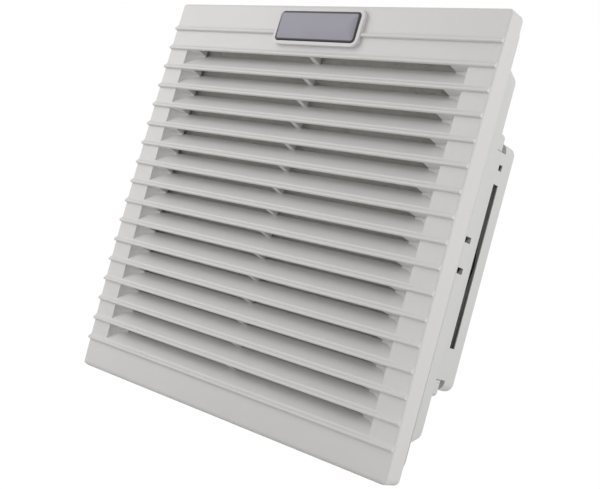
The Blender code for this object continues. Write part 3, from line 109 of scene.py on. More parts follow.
class Nodes:
    """A node tree under construction."""

    def __init__(self, tree):
        self.tree = tree

    def add(self, kind, settings=None, inputs=None):
        """A node of this kind, with its settings made first and then its sockets filled."""
        node = self.tree.nodes.new(kind)
        for key, setting in (settings or {}).items():
            if key == "stops":
                self.set_stops(node.color_ramp, setting)
            else:
                setattr(node, key, setting)
        for key, value in (inputs or {}).items():
            self.fill(node.inputs[key], value)
        return node

    def node(self, kind, settings=None, inputs=None, output=0):
        """The named or numbered output of a new node, as a value."""
        return self.output(self.add(kind, settings, inputs), output)

    def output(self, node, name):
        return Value(self, node.outputs[name])

    def fill(self, socket, value):
        if isinstance(value, Value):
            self.tree.links.new(value.socket, socket)
        else:
            socket.default_value = value

    @staticmethod
    def set_stops(ramp, stops):
        while len(ramp.elements) < len(stops):
            ramp.elements.new(1.0)
        for element, (position, level) in zip(ramp.elements, stops):
            element.position = position
            element.color = (level, level, level, 1.0)

    def seen(self):
        """1 where the camera, a mirror or clear glass looks, and 0 where light is gathered."""
        path = self.add("ShaderNodeLightPath")
        camera, glossy = self.output(path, "Is Camera Ray"), self.output(path, "Is Glossy Ray")
        return (camera + glossy + self.output(path, "Is Transmission Ray")).clamped()

    def show(self, plain, bright, share, target):
        """Shows one shader, and a bright one in its place by a share."""
        mix = self.add("ShaderNodeMixShader", {}, {"Fac": share})
        for place, shader in enumerate((plain, bright), 1):
            self.tree.links.new(shader.outputs[0], mix.inputs[place])
        self.tree.links.new(mix.outputs[0], self.tree.nodes[target].inputs["Surface"])


class Finish(Nodes):
    """A material under construction."""

    def __init__(self, name):
        self.material = bpy.data.materials.new(name)
        self.material.use_nodes = True
        super().__init__(self.material.node_tree)
        self.shader = self.tree.nodes["Principled BSDF"]
        self.place = self.output(self.add("ShaderNodeTexCoord"), "Object")

    def stretched(self, scale, place=None):
        """A place on the piece, stretched by a factor for each axis."""
        inputs = {0: place or self.place, 1: scale}
        return self.node("ShaderNodeVectorMath", {"operation": "MULTIPLY"}, inputs)

    def noise(self, size, detail=3.0, roughness=0.55, place=None):
        """Cloudy noise whose blobs are about this big, in metres."""
        inputs = {"Vector": place or self.place, "Scale": 1 / size, "Detail": detail, "Roughness": roughness}
        return self.node("ShaderNodeTexNoise", {}, inputs)

    def cells(self, size):
        """Distance to the middle of round cells of about this size, in metres."""
        inputs = {"Vector": self.place, "Scale": 1 / size, "Randomness": 1.0}
        return self.node("ShaderNodeTexVoronoi", {}, inputs)

    def ramp(self, value, *stops):
        return self.node("ShaderNodeValToRGB", {"stops": stops}, {"Fac": value})

    def tint(self, share, colour, low, high):
        """Mixes the base colour between two shades of one colour."""
        shades = [(*(min(part * factor, 1.0) for part in colour), 1.0) for factor in (low, high)]
        inputs = {"Factor": share, 6: shades[0], 7: shades[1]}
        self.set(Base_Color=self.node("ShaderNodeMix", {"data_type": "RGBA"}, inputs, output=2))

    def relief(self, *layers):
        """Bump of (height, depth in metres) layers on the shader's normal."""
        normal = None
        for height, depth in layers:
            inputs = {"Height": height, "Distance": depth, "Strength": 1.0}
            if normal:
                inputs["Normal"] = normal
            normal = self.node("ShaderNodeBump", {}, inputs)
        self.set(Normal=normal)

    def set(self, **sockets):
        """Fills the shader's sockets, with spaces in their names written as underscores."""
        for name, value in sockets.items():
            self.fill(self.shader.inputs[name.replace("_", " ")], value)


def moulded_plastic(name, colour, grain=0.0005, grain_depth=0.00004, roughness=0.5, mottle=0.03):
    """Injection-moulded plastic with a fine spark-eroded grain and faint flow clouds."""
    finish = Finish(name)
    clouds = finish.noise(0.035, 2.0)
    speckle = finish.noise(grain * 3, 2.0)
    finish.tint((clouds * 0.6 + speckle * 0.4).clamped(), colour, 1 - mottle, 1 + mottle)
    finish.set(Roughness=roughness - 0.05 + finish.noise(0.012, 3.0) * 0.1, Specular_IOR_Level=0.4)
    finish.relief((finish.noise(grain, 2.0, 0.6), grain_depth), (clouds, 0.0002))
    return finish.material


def needled_fleece(name, colour):
    """Needled filter fleece: tangled fibres, with painted shade darkening the gaps between them."""
    finish = Finish(name)
    warp_inputs = {"Vector": finish.place, "Scale": 90.0, "Detail": 2.0}
    warp = finish.node("ShaderNodeTexNoise", {}, warp_inputs, "Color")
    bend_inputs = {0: warp, 1: (0.012,) * 3, 2: finish.place}
    bent = finish.node("ShaderNodeVectorMath", {"operation": "MULTIPLY_ADD"}, bend_inputs)
    fibres = None
    for across in ((1.0, 1.0, 0.16), (0.16, 1.0, 1.0), (0.6, 1.0, 0.6)):
        lines = finish.noise(0.0011, 2.0, 0.6, finish.stretched(across, bent))
        strand = 1 - finish.ramp(lines, (0.36, 0.0), (0.5, 1.0), (0.64, 0.0))
        fibres = strand if fibres is None else fibres * strand
    tufts = finish.noise(0.006, 3.0)
    # Painted shade: the gaps between fibres are tinted darker, as shade in the hollows; the tufts vary the
    # tone at random.
    finish.tint((0.25 + fibres * 0.35 + tufts * 0.4).clamped(), colour, 1.25, 0.72)
    finish.set(Roughness=0.95, Sheen_Weight=0.35, Sheen_Roughness=0.5, Specular_IOR_Level=0.2)
    finish.relief((tufts, 0.0012), (1 - fibres, 0.0004))
    return finish.material


def brushed_metal(name, colour, roughness=0.3, along=(0.02, 1.0, 1.0), depth=0.00001):
    """Satin metal with fine brush lines along one axis."""
    finish = Finish(name)
    lines = finish.noise(0.00035, 3.0, 0.7, finish.stretched(along))
    clouds = finish.noise(0.02, 2.0)
    finish.tint((lines * 0.6 + clouds * 0.4).clamped(), colour, 0.85, 1.15)
    finish.set(Metallic=1.0, Roughness=roughness - 0.06 + lines * 0.12)
    finish.relief((lines, depth))
    return finish.material


def plated_metal(name, colour, roughness=0.3, blotch=0.006):
    """Zinc-plated or plain bright metal with faint cloudy crystals."""
    finish = Finish(name)
    clouds = finish.noise(blotch, 4.0, 0.65)
    crystals = finish.cells(blotch / 3)
    finish.tint((clouds * 0.7 + crystals * 0.3).clamped(), colour, 0.86, 1.1)
    finish.set(Metallic=1.0, Roughness=roughness - 0.05 + clouds * 0.14)
    finish.relief((finish.noise(0.0008, 2.0), 0.000012))
    return finish.material


def painted_casting(name, colour, roughness=0.42):
    """Powder-coated die-casting with an orange-peel skin."""
    finish = Finish(name)
    peel = finish.noise(0.0016, 2.0, 0.5)
    finish.tint(finish.noise(0.03, 2.0), colour, 0.85, 1.2)
    finish.set(Roughness=roughness - 0.05 + peel * 0.12, Specular_IOR_Level=0.5)
    finish.relief((peel, 0.00006), (finish.noise(0.0004, 2.0), 0.00001))
    return finish.material


def foam_strip(name, colour):
    """Closed-cell foam with a skin of small open bubbles, their hollows painted darker as shade."""
    finish = Finish(name)
    bubbles = finish.cells(0.0007)
    # Painted shade: each bubble is darker towards its sunken middle and lighter at its raised rim.
    finish.tint(bubbles, colour, 0.6, 1.6)
    finish.set(Roughness=0.9, Specular_IOR_Level=0.2)
    finish.relief((bubbles, 0.0003), (finish.noise(0.003, 3.0), 0.0002))
    return finish.material


def enamelled_wire(name, colour):
    """Lacquered copper wire under a coat of varnish."""
    finish = Finish(name)
    varnish = finish.noise(0.004, 3.0)
    finish.tint(varnish, colour, 0.7, 1.2)
    finish.set(Metallic=0.85, Roughness=0.25 + varnish * 0.15, Coat_Weight=0.6, Coat_Roughness=0.15)
    finish.relief((finish.noise(0.001, 2.0), 0.00004))
    return finish.material


def laminated_steel(name, colour):
    """Stack of punched sheets: fine lines across the fan's axis."""
    finish = Finish(name)
    sheets = finish.noise(0.0005, 1.0, 0.5, finish.stretched((0.02, 1.0, 0.02)))
    finish.tint(sheets, colour, 0.6, 1.1)
    finish.set(Metallic=0.9, Roughness=0.35 + sheets * 0.2)
    finish.relief((sheets, 0.00008))
    return finish.material


# Pieces and how they are carried

def placed(name, data):
    """A new object in the scene."""
    made = bpy.data.objects.new(name, data)
    bpy.context.scene.collection.objects.link(made)
    return made


def blank(mesh_data):
    """A bare body from a finished bmesh, to be cut, joined or dressed."""
    bmesh.ops.recalc_face_normals(mesh_data, faces=mesh_data.faces)
    mesh = bpy.data.meshes.new("blank")
    mesh_data.to_mesh(mesh)
    mesh_data.free()
    return placed("blank", mesh)


def copy_of(name):
    """A bare copy of a CAD node in its place."""
    node = NODES[name]
    mesh = bpy.data.meshes.new_from_object(node.evaluated_get(bpy.context.evaluated_depsgraph_get()))
    mesh.transform(node.matrix_world)
    return placed("blank", mesh)


def dressed(piece, name, material, sharp=35.0):
    """A body as a named piece with its finish, smooth except at edges sharper than this."""
    piece.name = name
    piece.data.name = name
    piece.data.materials.clear()
    piece.data.materials.append(material)
    piece.data.shade_smooth()
    piece.data.set_sharp_from_angle(angle=radians(sharp))
    return piece


def stands_for(piece, body, slot, *nodes):
    """Makes a piece ride on a body in the place of CAD nodes."""
    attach(piece, body)
    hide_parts(*nodes)


def finish_nodes(material, *names):
    """Gives CAD nodes a finish."""
    for name in names:
        materials = NODES[name].data.materials
        materials.clear()
        materials.append(material)


def combined(target, cutter, operation):
    """Leaves one exact Boolean of two pieces on the first one and removes the second."""
    modifier = target.modifiers.new("combine", "BOOLEAN")
    modifier.operation = operation
    modifier.solver = "EXACT"
    modifier.object = cutter
    bpy.context.view_layer.update()
    result = bpy.data.meshes.new_from_object(target.evaluated_get(bpy.context.evaluated_depsgraph_get()))
    target.modifiers.remove(modifier)
    target.data = result
    bpy.data.objects.remove(cutter)
    return target


def softened(piece, width):
    """A small bevel on a piece's edges."""
    bevel = piece.modifiers.new("soft edges", "BEVEL")
    bevel.width = width
    bevel.segments = 2
    bevel.limit_method = "ANGLE"
    bevel.angle_limit = radians(30)
    bevel.harden_normals = True


def evenly_lit(piece):
    """Keeps the large flat faces flat under smooth shading."""
    weighted = piece.modifiers.new("even shading", "WEIGHTED_NORMAL")
    weighted.keep_sharp = True


# Outlines

def whole_turn(count):
    """Angles of evenly spaced points on a circle."""
    return [2 * pi * step / count for step in range(count)]


def quarter_turn(steps):
    """Angles from 0 to 90 degrees in even steps."""
    return [step / steps * pi / 2 for step in range(steps + 1)]


def circle(radius, middle, count=32):
    """Points of a circle about a middle."""
    return [(middle[0] + radius * cos(a), middle[1] + radius * sin(a)) for a in whole_turn(count)]


def rectangle(low, high):
    """Corners of an upright rectangle."""
    return [(low[0], low[1]), (high[0], low[1]), (high[0], high[1]), (low[0], high[1])]


def rectangle_about(middle, half_a, half_b):
    return rectangle((middle[0] - half_a, middle[1] - half_b), (middle[0] + half_a, middle[1] + half_b))


def rounded_outline(half_x, half_z, corner, middle=(0.0, 0.0), steps=8):
    """Points of a rounded rectangle about a middle, as (X, Z)."""
    corner = max(min(corner, half_x, half_z), 0.00001)
    points = []
    for quarter, (sx, sz) in enumerate(((1, 1), (-1, 1), (-1, -1), (1, -1))):
        for step in range(steps + 1):
            angle = (quarter + step / steps) * pi / 2
            x = middle[0] + sx * (half_x - corner) + corner * cos(angle)
            points.append((x, middle[1] + sz * (half_z - corner) + corner * sin(angle)))
    return points


def four_ways(outline):
    """An outline in the upper right quarter and its three mirror images."""
    return [[(sx * x, sz * z) for x, z in outline] for sx in (-1, 1) for sz in (-1, 1)]


def corner_fillers(half_x, half_z, corner, old_corner, bite=0.001):
    """Outlines that fill a square body's corners out to a smaller radius."""
    turns = quarter_turn(8)
    radius = old_corner - bite
    outer = [(half_x - corner * (1 - cos(a)), half_z - corner * (1 - sin(a))) for a in turns]
    inner = [(half_x - old_corner + radius * cos(a), half_z - old_corner + radius * sin(a)) for a in turns]
    return four_ways([(half_x, half_z - old_corner), *outer, (half_x - old_corner, half_z), *reversed(inner)])


# Mesh makers

def ring_of(mesh, points):
    return [mesh.verts.new(point) for point in points]


def bridge(mesh, near, far):
    """Faces between two closed rings of vertices."""
    for i in range(len(near)):
        mesh.faces.new((near[i - 1], near[i], far[i], far[i - 1]))


def prisms(outlines, start, end, axis="Y"):
    """Straight bodies along an axis, from outlines that stay clear of each other, as one mesh.

    Outlines are (X, Z) along Y, (Y, Z) along X and (X, Y) along Z.
    """
    order = {"X": (2, 0, 1), "Y": (0, 2, 1), "Z": (0, 1, 2)}[axis]
    mesh = bmesh.new()
    for outline in outlines:
        near, far = ([mesh.verts.new([(*point, end_at)[k] for k in order]) for point in outline]
                     for end_at in (start, end))
        bridge(mesh, near, far)
        mesh.faces.new(near)
        mesh.faces.new(far)
    return blank(mesh)


def prism(outline, start, end, axis="Y"):
    return prisms([outline], start, end, axis)


def add_tube(mesh, points, radius, sides, closed=False):
    """A round tube along points, with flat ends unless it is closed."""
    points = [Vector(point) for point in points]
    count = len(points)
    rings = []
    normal = None
    for i, point in enumerate(points):
        after = points[(i + 1) % count] if closed or i + 1 < count else point
        before = points[i - 1] if closed or i else point
        tangent = (after - before).normalized()
        if normal is None:
            guide = Vector((0, 1, 0)) if abs(tangent.y) < 0.9 else Vector((1, 0, 0))
            normal = tangent.cross(guide).normalized()
        normal = (normal - tangent * normal.dot(tangent)).normalized()
        side = tangent.cross(normal)
        spokes = [normal * cos(angle) + side * sin(angle) for angle in whole_turn(sides)]
        rings.append(ring_of(mesh, [point + spoke * radius for spoke in spokes]))
    for near, far in zip(rings, rings[1:]):
        bridge(mesh, near, far)
    if closed:
        twist = min(range(sides), key=lambda k: (rings[0][k].co - rings[-1][0].co).length)
        bridge(mesh, rings[-1], rings[0][twist:] + rings[0][:twist])
    else:
        mesh.faces.new(rings[0])
        mesh.faces.new(rings[-1])


def add_turned(mesh, profile, count, middle=(0.0, 0.0)):
    """A closed (radius, y) profile turned about a line along Y. Points on the line are shared."""
    rings = []
    for radius, y in profile:
        if radius == 0:
            rings.append([mesh.verts.new((middle[0], y, middle[1]))] * count)
        else:
            rings.append(ring_of(mesh, [(x, y, z) for x, z in circle(radius, middle, count)]))
    for near, far in zip(rings, rings[1:] + rings[:1]):
        for i in range(count):
            corners = (near[i - 1], near[i], far[i], far[i - 1])
            face = [corner for k, corner in enumerate(corners) if corner not in corners[:k]]
            if len(face) > 2:
                mesh.faces.new(face)


def smooth_field(generator, count, size):
    """A square field of soft random heights from -1 to 1, with blobs of this many cells."""
    field = generator.standard_normal((count, count))
    reach = int(size * 3)
    kernel = np.exp(-0.5 * (np.arange(-reach, reach + 1) / size) ** 2)
    for axis in (0, 1):
        padded = np.pad(field, [(reach, reach) if k == axis else (0, 0) for k in (0, 1)], mode="wrap")
        field = np.apply_along_axis(lambda line: np.convolve(line, kernel, mode="valid"), axis, padded)
    return field / np.abs(field).max()


# Sizes and colours that a user would change

def length(name, description, default, **limits):
    """A size in metres."""
    return FloatProperty(name=name, description=description, default=default, unit="LENGTH", **limits)


def number(name, description, default, **limits):
    return FloatProperty(name=name, description=description, default=default, **limits)


def count_of(name, description, default, low, high):
    return IntProperty(name=name, description=description, default=default, min=low, max=high)


def hue(name, description, default):
    """A colour, as linear light."""
    return FloatVectorProperty(name=name, description=description, default=default, subtype="COLOR")


class FanColours(PropertyGroup):
    """Colours of the finishes."""
    cover: hue("Cover", "Light warm grey of the cover", (0.635, 0.625, 0.615))
    housing: hue("Housing", "Grey of the mounting frame and the box", (0.60, 0.60, 0.585))
    badge: hue("Badge", "Dark metal of the badge", (0.120, 0.116, 0.132))
    # Painted reflection: a darker tone for the badge's rounded rim, in place of dark surroundings mirrored in
    # it.
    painted_rim_reflection: hue("Badge edge", "Darker metal of the badge's rim", (0.022, 0.021, 0.025))
    fleece: hue("Fleece", "Grey of the filter mat", (0.52, 0.51, 0.47))
    foam: hue("Foam", "Black of the gasket", (0.03, 0.03, 0.03))
    casting: hue("Casting", "Black coat of the fan's ring", (0.045, 0.046, 0.05))
    rotor: hue("Rotor", "Black coat of the rotor cup", (0.025, 0.025, 0.027))
    plastic: hue("Plastic", "Black plastic of impeller and terminals", (0.03, 0.03, 0.032))
    steel: hue("Steel", "Zinc-plated steel", (0.62, 0.63, 0.65))
    copper: hue("Copper", "Enamelled copper wire", (0.55, 0.22, 0.09))
    brass: hue("Brass", "Brass of the clamp screws and the earth tab", (0.72, 0.55, 0.24))
    aluminium: hue("Aluminium", "Cast aluminium of the rotor cage", (0.72, 0.72, 0.74))


class CoverSizes(PropertyGroup):
    """Shape of the louvred cover. Depths are counted back from its face."""
    depth: length("Depth", "From its face to its rim", 0.0117)
    wall: length("Wall", "Thickness of its side walls", 0.002)
    skin: length("Skin", "Thickness of its face", 0.0022)
    rounding: length("Rounding", "Radius of its upper and lower front edge", 0.003)
    side_rounding: length("Side rounding", "Radius of its long front edges under the lips", 0.0014)
    corner: length("Corner", "Radius of its corners", 0.004)
    bow: length("Bow", "How far its face stands forward at the middle", 0.0021)
    ribs: count_of("Rib lines", "Lips across the face", 17, 4, 30)
    rib_top: length("First lip", "From the top edge to the first lip", 0.0199)
    rib_bottom: length("Last lip", "From the last lip to the bottom edge", 0.0174)
    lip_end: length("Lip end", "From a lip's end to the cover's side", 0.0006)
    lip_depth: length("Lip depth", "How far a lip stands proud", 0.0019)
    lip_height: length("Lip height", "Height of a lip's flare", 0.0039)
    lip_nose: length("Lip nose", "Radius of a lip's round nose", 0.0010)
    lip_wall: length("Lip wall", "Thickness of a lip", 0.0012)
    louvre_depth: length("Louvre depth", "Depth of the slats", 0.0079)
    louvre_inset: length("Margin", "Plain margin beside the louvres", 0.017)
    end_slant: length("End slant", "How far a louvre's ends slant in", 0.0112)
    throat_depth: length("Throat", "Depth of the louvre's throat", 0.0068)
    slat_edge: length("Slat edge", "From a slat's front edge to the lip below", 0.0041)
    slat_drop: length("Slat drop", "Drop of a slat's rear edge", 0.0008)
    slat_wall: length("Slat wall", "Thickness of a slat", 0.0029)
    slat_floor: length("Lowest slat", "Reach of the lowest slat below its lip", 0.0045)
    web: length("Web", "Thickness of the middle webs", 0.0034)
    bezel_front: length("Bezel", "How far the badge's bezel stands proud", 0.0025)
    bezel_margin: length("Bezel wall", "Wall of the badge's bezel", 0.0022)
    soft: length("Soft edges", "Radius of its small edges", 0.00025)


class BadgeSizes(PropertyGroup):
    """Shape of the bare badge plate."""
    width: length("Width", "Width of the plate", 0.0622)
    height: length("Height", "Height of the plate", 0.0186)
    thickness: length("Thickness", "Thickness of the plate", 0.0024)
    proud: length("Proud", "How far it stands out of its bezel", 0.0011)
    from_top: length("From top", "From the cover's top to the plate", 0.0055)
    corner: length("Corner", "Radius of its corners", 0.0027, min=0.0005, max=0.008)
    edge: length("Edge", "Radius of its rounded rim", 0.0014, min=0.0001, max=0.002)
    crown: length("Crown", "How far its middle stands proud", 0.0005, min=0.0, max=0.001)


class BoxSizes(PropertyGroup):
    """Shape of the frame's body and of the rear box. Places are from the panel's front and the fan's axis."""
    body: length("Body", "Half width of the frame's body", 0.1115)
    body_corner: length("Body corner", "Radius of its corners", 0.006)
    body_rear: length("Body rear", "Its rear face", 0.029)
    slope: length("Slope", "How far its upper and lower wall close in", 0.0065)
    slope_start: length("Slope start", "Where the slope starts", 0.0133)
    slope_edge: length("Slope edge", "Height from which walls move", 0.095)
    box_x: length("Box width", "Half width of the rear box", 0.089)
    box_z: length("Box height", "Half height of the rear box", 0.0775)
    box_wall: length("Box wall", "Thickness of its walls", 0.002)
    box_corner: length("Box corner", "Radius of its corners", 0.006)
    box_front: length("Box front", "Its front edge", 0.0293)
    box_rear: length("Box rear", "Its rear edge", 0.0876)
    hole_z: length("Side hole", "Height of the side holes", 0.0615)
    hole: length("Hole size", "Half size of the side holes", 0.0019)
    slot_y: length("Slot", "Middle of the side slots", 0.0751)
    slot_width: length("Slot width", "Half width of the side slots", 0.0028)
    slot_length: length("Slot length", "Half length of the side slots", 0.051)
    latch_front: length("Latch front", "Front of the latches", 0.0655)
    latch_rear: length("Latch rear", "Rear of the latches", 0.0722)
    window_rear: length("Window rear", "Rear of the latches' windows", 0.0770)


class MatSizes(PropertyGroup):
    """Shape of the filter mat."""
    cells: count_of("Cells", "Cells across the mat", 84, 12, 200)
    hollow: length("Hollow", "How deep its soft hollows are", 0.0006, min=0.0, max=0.002)
    pinch: length("Pinch", "How far its cut edges pull in", 0.0022, min=0.0, max=0.004)
    pinch_reach: length("Pinch reach", "Width of the edge that pulls in", 0.005, min=0.001, max=0.02)


class ImpellerSizes(PropertyGroup):
    """Shape of the impeller."""
    blades: count_of("Blades", "Number of blades", 7, 3, 15)
    bore: length("Bore", "Radius of the hub's bore", 0.0403)
    hub: length("Hub", "Outer radius of the hub", 0.0425)
    tip: length("Tip", "Radius of the blades' tips", 0.0684)
    front: length("Hub front", "Front end of the hub", 0.0373)
    rear: length("Hub rear", "Rear end of the hub", 0.0713)
    root_chord: length("Root chord", "Blade length at the hub", 0.034)
    tip_chord: length("Tip chord", "Blade length at the tip", 0.046)
    root_angle: number("Root angle", "Blade angle at the hub in degrees", 42.0)
    tip_angle: number("Tip angle", "Blade angle at the tip in degrees", 63.0)
    camber: number("Camber", "Rise of a blade's arch as a share of its chord", 0.10)
    sweep: number("Sweep", "Forward sweep of the tip in degrees", 14.0)
    thickness: length("Thickness", "Fullest thickness of a blade", 0.0018)


class GuardSizes(PropertyGroup):
    """Shape of the wire guard and its fasteners."""
    wire: length("Wire", "Radius of the wire", 0.0011)
    ring_y: length("Rings", "Where the rings lie", 0.08246)
    cross_y: length("Crossed wires", "Where the crossed wires lie", 0.084)
    first: length("First ring", "Radius of the smallest ring", 0.018)
    last: length("Last ring", "Radius of the largest ring", 0.071)
    rings: count_of("Ring count", "Number of rings", 5, 2, 12)
    reach: length("Reach", "Half length of the crossed wires", 0.077)
    bolt: length("Bolts", "Place of the screws beside the axis", 0.05728)
    head: length("Head", "Radius of a screw's head", 0.0037)
    shank: length("Shank", "Radius of a screw's thread", 0.002)
    pitch: length("Pitch", "Pitch of a screw's thread", 0.0007)


class StageSizes(PropertyGroup):
    """Camera and light."""
    camera_place: FloatVectorProperty(
        name="Camera", description="Where the camera stands", subtype="TRANSLATION", unit="LENGTH",
        default=(0.3902, -0.4391, -0.0476))
    shift: FloatVectorProperty(
        name="Shift", description="Lens shift of the framing", size=2, default=(0.0029, 0.0282))
    lens: number("Lens", "Focal length in mm on a 36 mm sensor", 58.8, min=20, max=200)
    ambient: number("Ambient", "Strength of the even light", 0.56, min=0.0, max=2.0)
    key: number("Key", "Power of the softbox at the front left", 5.8, min=0.0, max=50.0)
    fill: number("Fill", "Power of the softbox at the right", 5.0, min=0.0, max=50.0)


# Pieces

def colours():
    return bpy.context.scene.fan_colours


class CoverShape:
    """Works out the cover's outlines from its sizes. Depths are counted back from its face."""
    gap = 0.0003
    reach = 0.002
    sink = 0.0005
    turns = 8
    edge_steps = 6
    nose_gap = 0.00003
    nose_angles = range(60, -91, -15)
    flare_steps = 6
    flare_hollow = 1.5
    flare_fall = 0.85
    foot_share = 0.7
    web_foot = 0.97
    web_head = 0.6

    def __init__(self):
        self.sizes = bpy.context.scene.fan_cover
        self.badge = bpy.context.scene.fan_badge
        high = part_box("cover_grille")[1]
        self.half = high.x
        self.face_y = high.y - self.sizes.depth
        self.pitch = (2 * self.half - self.sizes.rib_top - self.sizes.rib_bottom) / (self.sizes.ribs - 1)
        self.mouth = self.half - self.sizes.louvre_inset
        self.badge_z = self.half - self.badge.from_top - self.badge.height / 2

    def rib_z(self, rib):
        """Height of a lip, counted from 1 at the top."""
        return self.half - self.sizes.rib_top - (rib - 1) * self.pitch

    def bow_of(self, z):
        """How far the face stands forward at a height."""
        return self.sizes.bow * (1 - min((z / self.half) ** 2, 1.0))

    def lip(self):
        """(proud, height) of a lip: a hollow flare, a round nose and a flat underside."""
        sizes = self.sizes
        nose = sizes.lip_nose
        middle = (sizes.lip_depth - nose, self.gap + self.nose_gap + nose)
        turns = [radians(angle) for angle in self.nose_angles]
        round_nose = [(middle[0] + nose * cos(a), middle[1] + nose * sin(a)) for a in turns]
        top = round_nose[0]
        fall = sizes.lip_height - top[1]
        flare = []
        for step in range(self.flare_steps):
            share = step / self.flare_steps
            height = sizes.lip_height - fall * share ** self.flare_fall
            flare.append((top[0] * share ** self.flare_hollow, height))
        return [*flare, *round_nose, (0.0, middle[1] - nose)]

    def section(self):
        """Outline from the rim's top over the rounded edges and the flat face to the rim's bottom."""
        sizes = self.sizes
        turns = quarter_turn(self.edge_steps)
        edge = [(sizes.rounding * (1 - sin(a)), self.half - sizes.rounding * (1 - cos(a))) for a in turns]
        lower = [(depth, -z) for depth, z in reversed(edge)]
        return [(sizes.depth, self.half), *edge, *lower, (sizes.depth, -self.half)]

    def lips(self):
        """Outlines of every lip, with their feet sunk into the face."""
        sizes = self.sizes
        foot = sizes.skin * self.foot_share
        outlines = []
        for rib in range(1, sizes.ribs + 1):
            z = self.rib_z(rib)
            points = [(-proud, z + height) for proud, height in self.lip()]
            outlines.append([*points, (foot, points[-1][1]), (foot, z + sizes.lip_height)])
        return outlines

    def side_rounding(self):
        """(X, depth) outline that trims the cover's long sides to a rounded front edge."""
        radius = self.sizes.side_rounding
        back = self.sizes.depth + self.reach
        right = [(self.half - radius, -self.reach)]
        for angle in quarter_turn(self.edge_steps):
            right.append((self.half - radius * (1 - sin(angle)), radius * (1 - cos(angle))))
        left = [(-x, y) for x, y in right]
        return [(self.half, back), *reversed(right), *left, (-self.half, back)]

    def slat_top(self, depth):
        """Height of a slat's upper side from its lip."""
        front = self.pitch - self.sizes.slat_edge
        return -front + (front - self.sizes.slat_drop) * max(depth, 0.0) / self.sizes.louvre_depth

    def slat_underside(self, depth):
        """Height of the underside of the slat above a channel, from the channel's lip."""
        return self.pitch + self.slat_top(depth) - self.sizes.slat_wall

    def channel(self, mesh, rib):
        """The air channel under one lip, as wide as the throat, with a round-ended pocket at each end."""
        sizes = self.sizes
        z = self.rib_z(rib)
        front, back = -self.reach, sizes.louvre_depth + self.reach
        section = [
            (front, z + self.slat_top(0.0)),
            (0.0, z + self.slat_top(0.0)),
            (sizes.throat_depth, z + self.slat_top(sizes.throat_depth)),
            (back, z + self.slat_top(back)),
            (back, z + self.slat_underside(back)),
            (sizes.lip_wall, z + self.slat_underside(sizes.lip_wall)),
            (0.0, z + self.gap),
            (front, z + self.gap),
        ]
        throat = self.mouth - sizes.end_slant
        ends = {side: ring_of(mesh, [(side * throat, *point) for point in section]) for side in (-1, 1)}
        bridge(mesh, ends[-1], ends[1])
        for side, ring in ends.items():
            floor, roof = [], []
            for angle in quarter_turn(self.turns)[:-1]:
                x = side * (self.mouth - sizes.end_slant * (1 - cos(angle)))
                depth = sizes.throat_depth * sin(angle)
                drop = self.gap - (sizes.slat_drop + self.gap) * sin(angle)
                floor.append(mesh.verts.new((x, depth, z + self.slat_top(depth))))
                roof.append(mesh.verts.new((x, depth, z + drop)))
            floor.append(ring[2])
            roof.append(mesh.verts.new((side * throat, sizes.throat_depth, z - sizes.slat_drop)))
            low, high = ring_of(mesh, [(side * self.mouth, *section[i]) for i in (0, 7)])
            mesh.faces.new((ring[1], *reversed(floor)))
            mesh.faces.new((ring[6], *roof))
            mesh.faces.new((*ring[2:7], roof[-1]))
            for i in range(self.turns):
                mesh.faces.new((floor[i], floor[i + 1], roof[i + 1], roof[i]))
            mesh.faces.new((ring[0], ring[1], floor[0], low))
            mesh.faces.new((ring[7], high, roof[0], ring[6]))
            mesh.faces.new((low, floor[0], roof[0], high))
            mesh.faces.new((ring[0], low, high, ring[7]))

    def web(self, rib):
        """(depth, height) outline of the web between two slats, whose front slopes back downwards."""
        z = self.rib_z(rib)
        depth = self.sizes.louvre_depth
        back, foot, head = depth - self.gap / 2, depth * self.web_foot, depth * self.web_head
        return [
            (self.sink, z + self.gap),
            (foot, z + self.slat_top(foot) - self.sink),
            (back, z + self.slat_top(back) - self.sink),
            (back, z + self.slat_underside(back) + self.sink),
            (head, z + self.slat_underside(head) + self.sink),
        ]

    def badge_outline(self, grow):
        """The badge's outline, grown or shrunk on every side."""
        half_x, half_z = self.badge.width / 2 + grow, self.badge.height / 2 + grow
        return rounded_outline(half_x, half_z, self.badge.corner + grow, (0.0, self.badge_z))


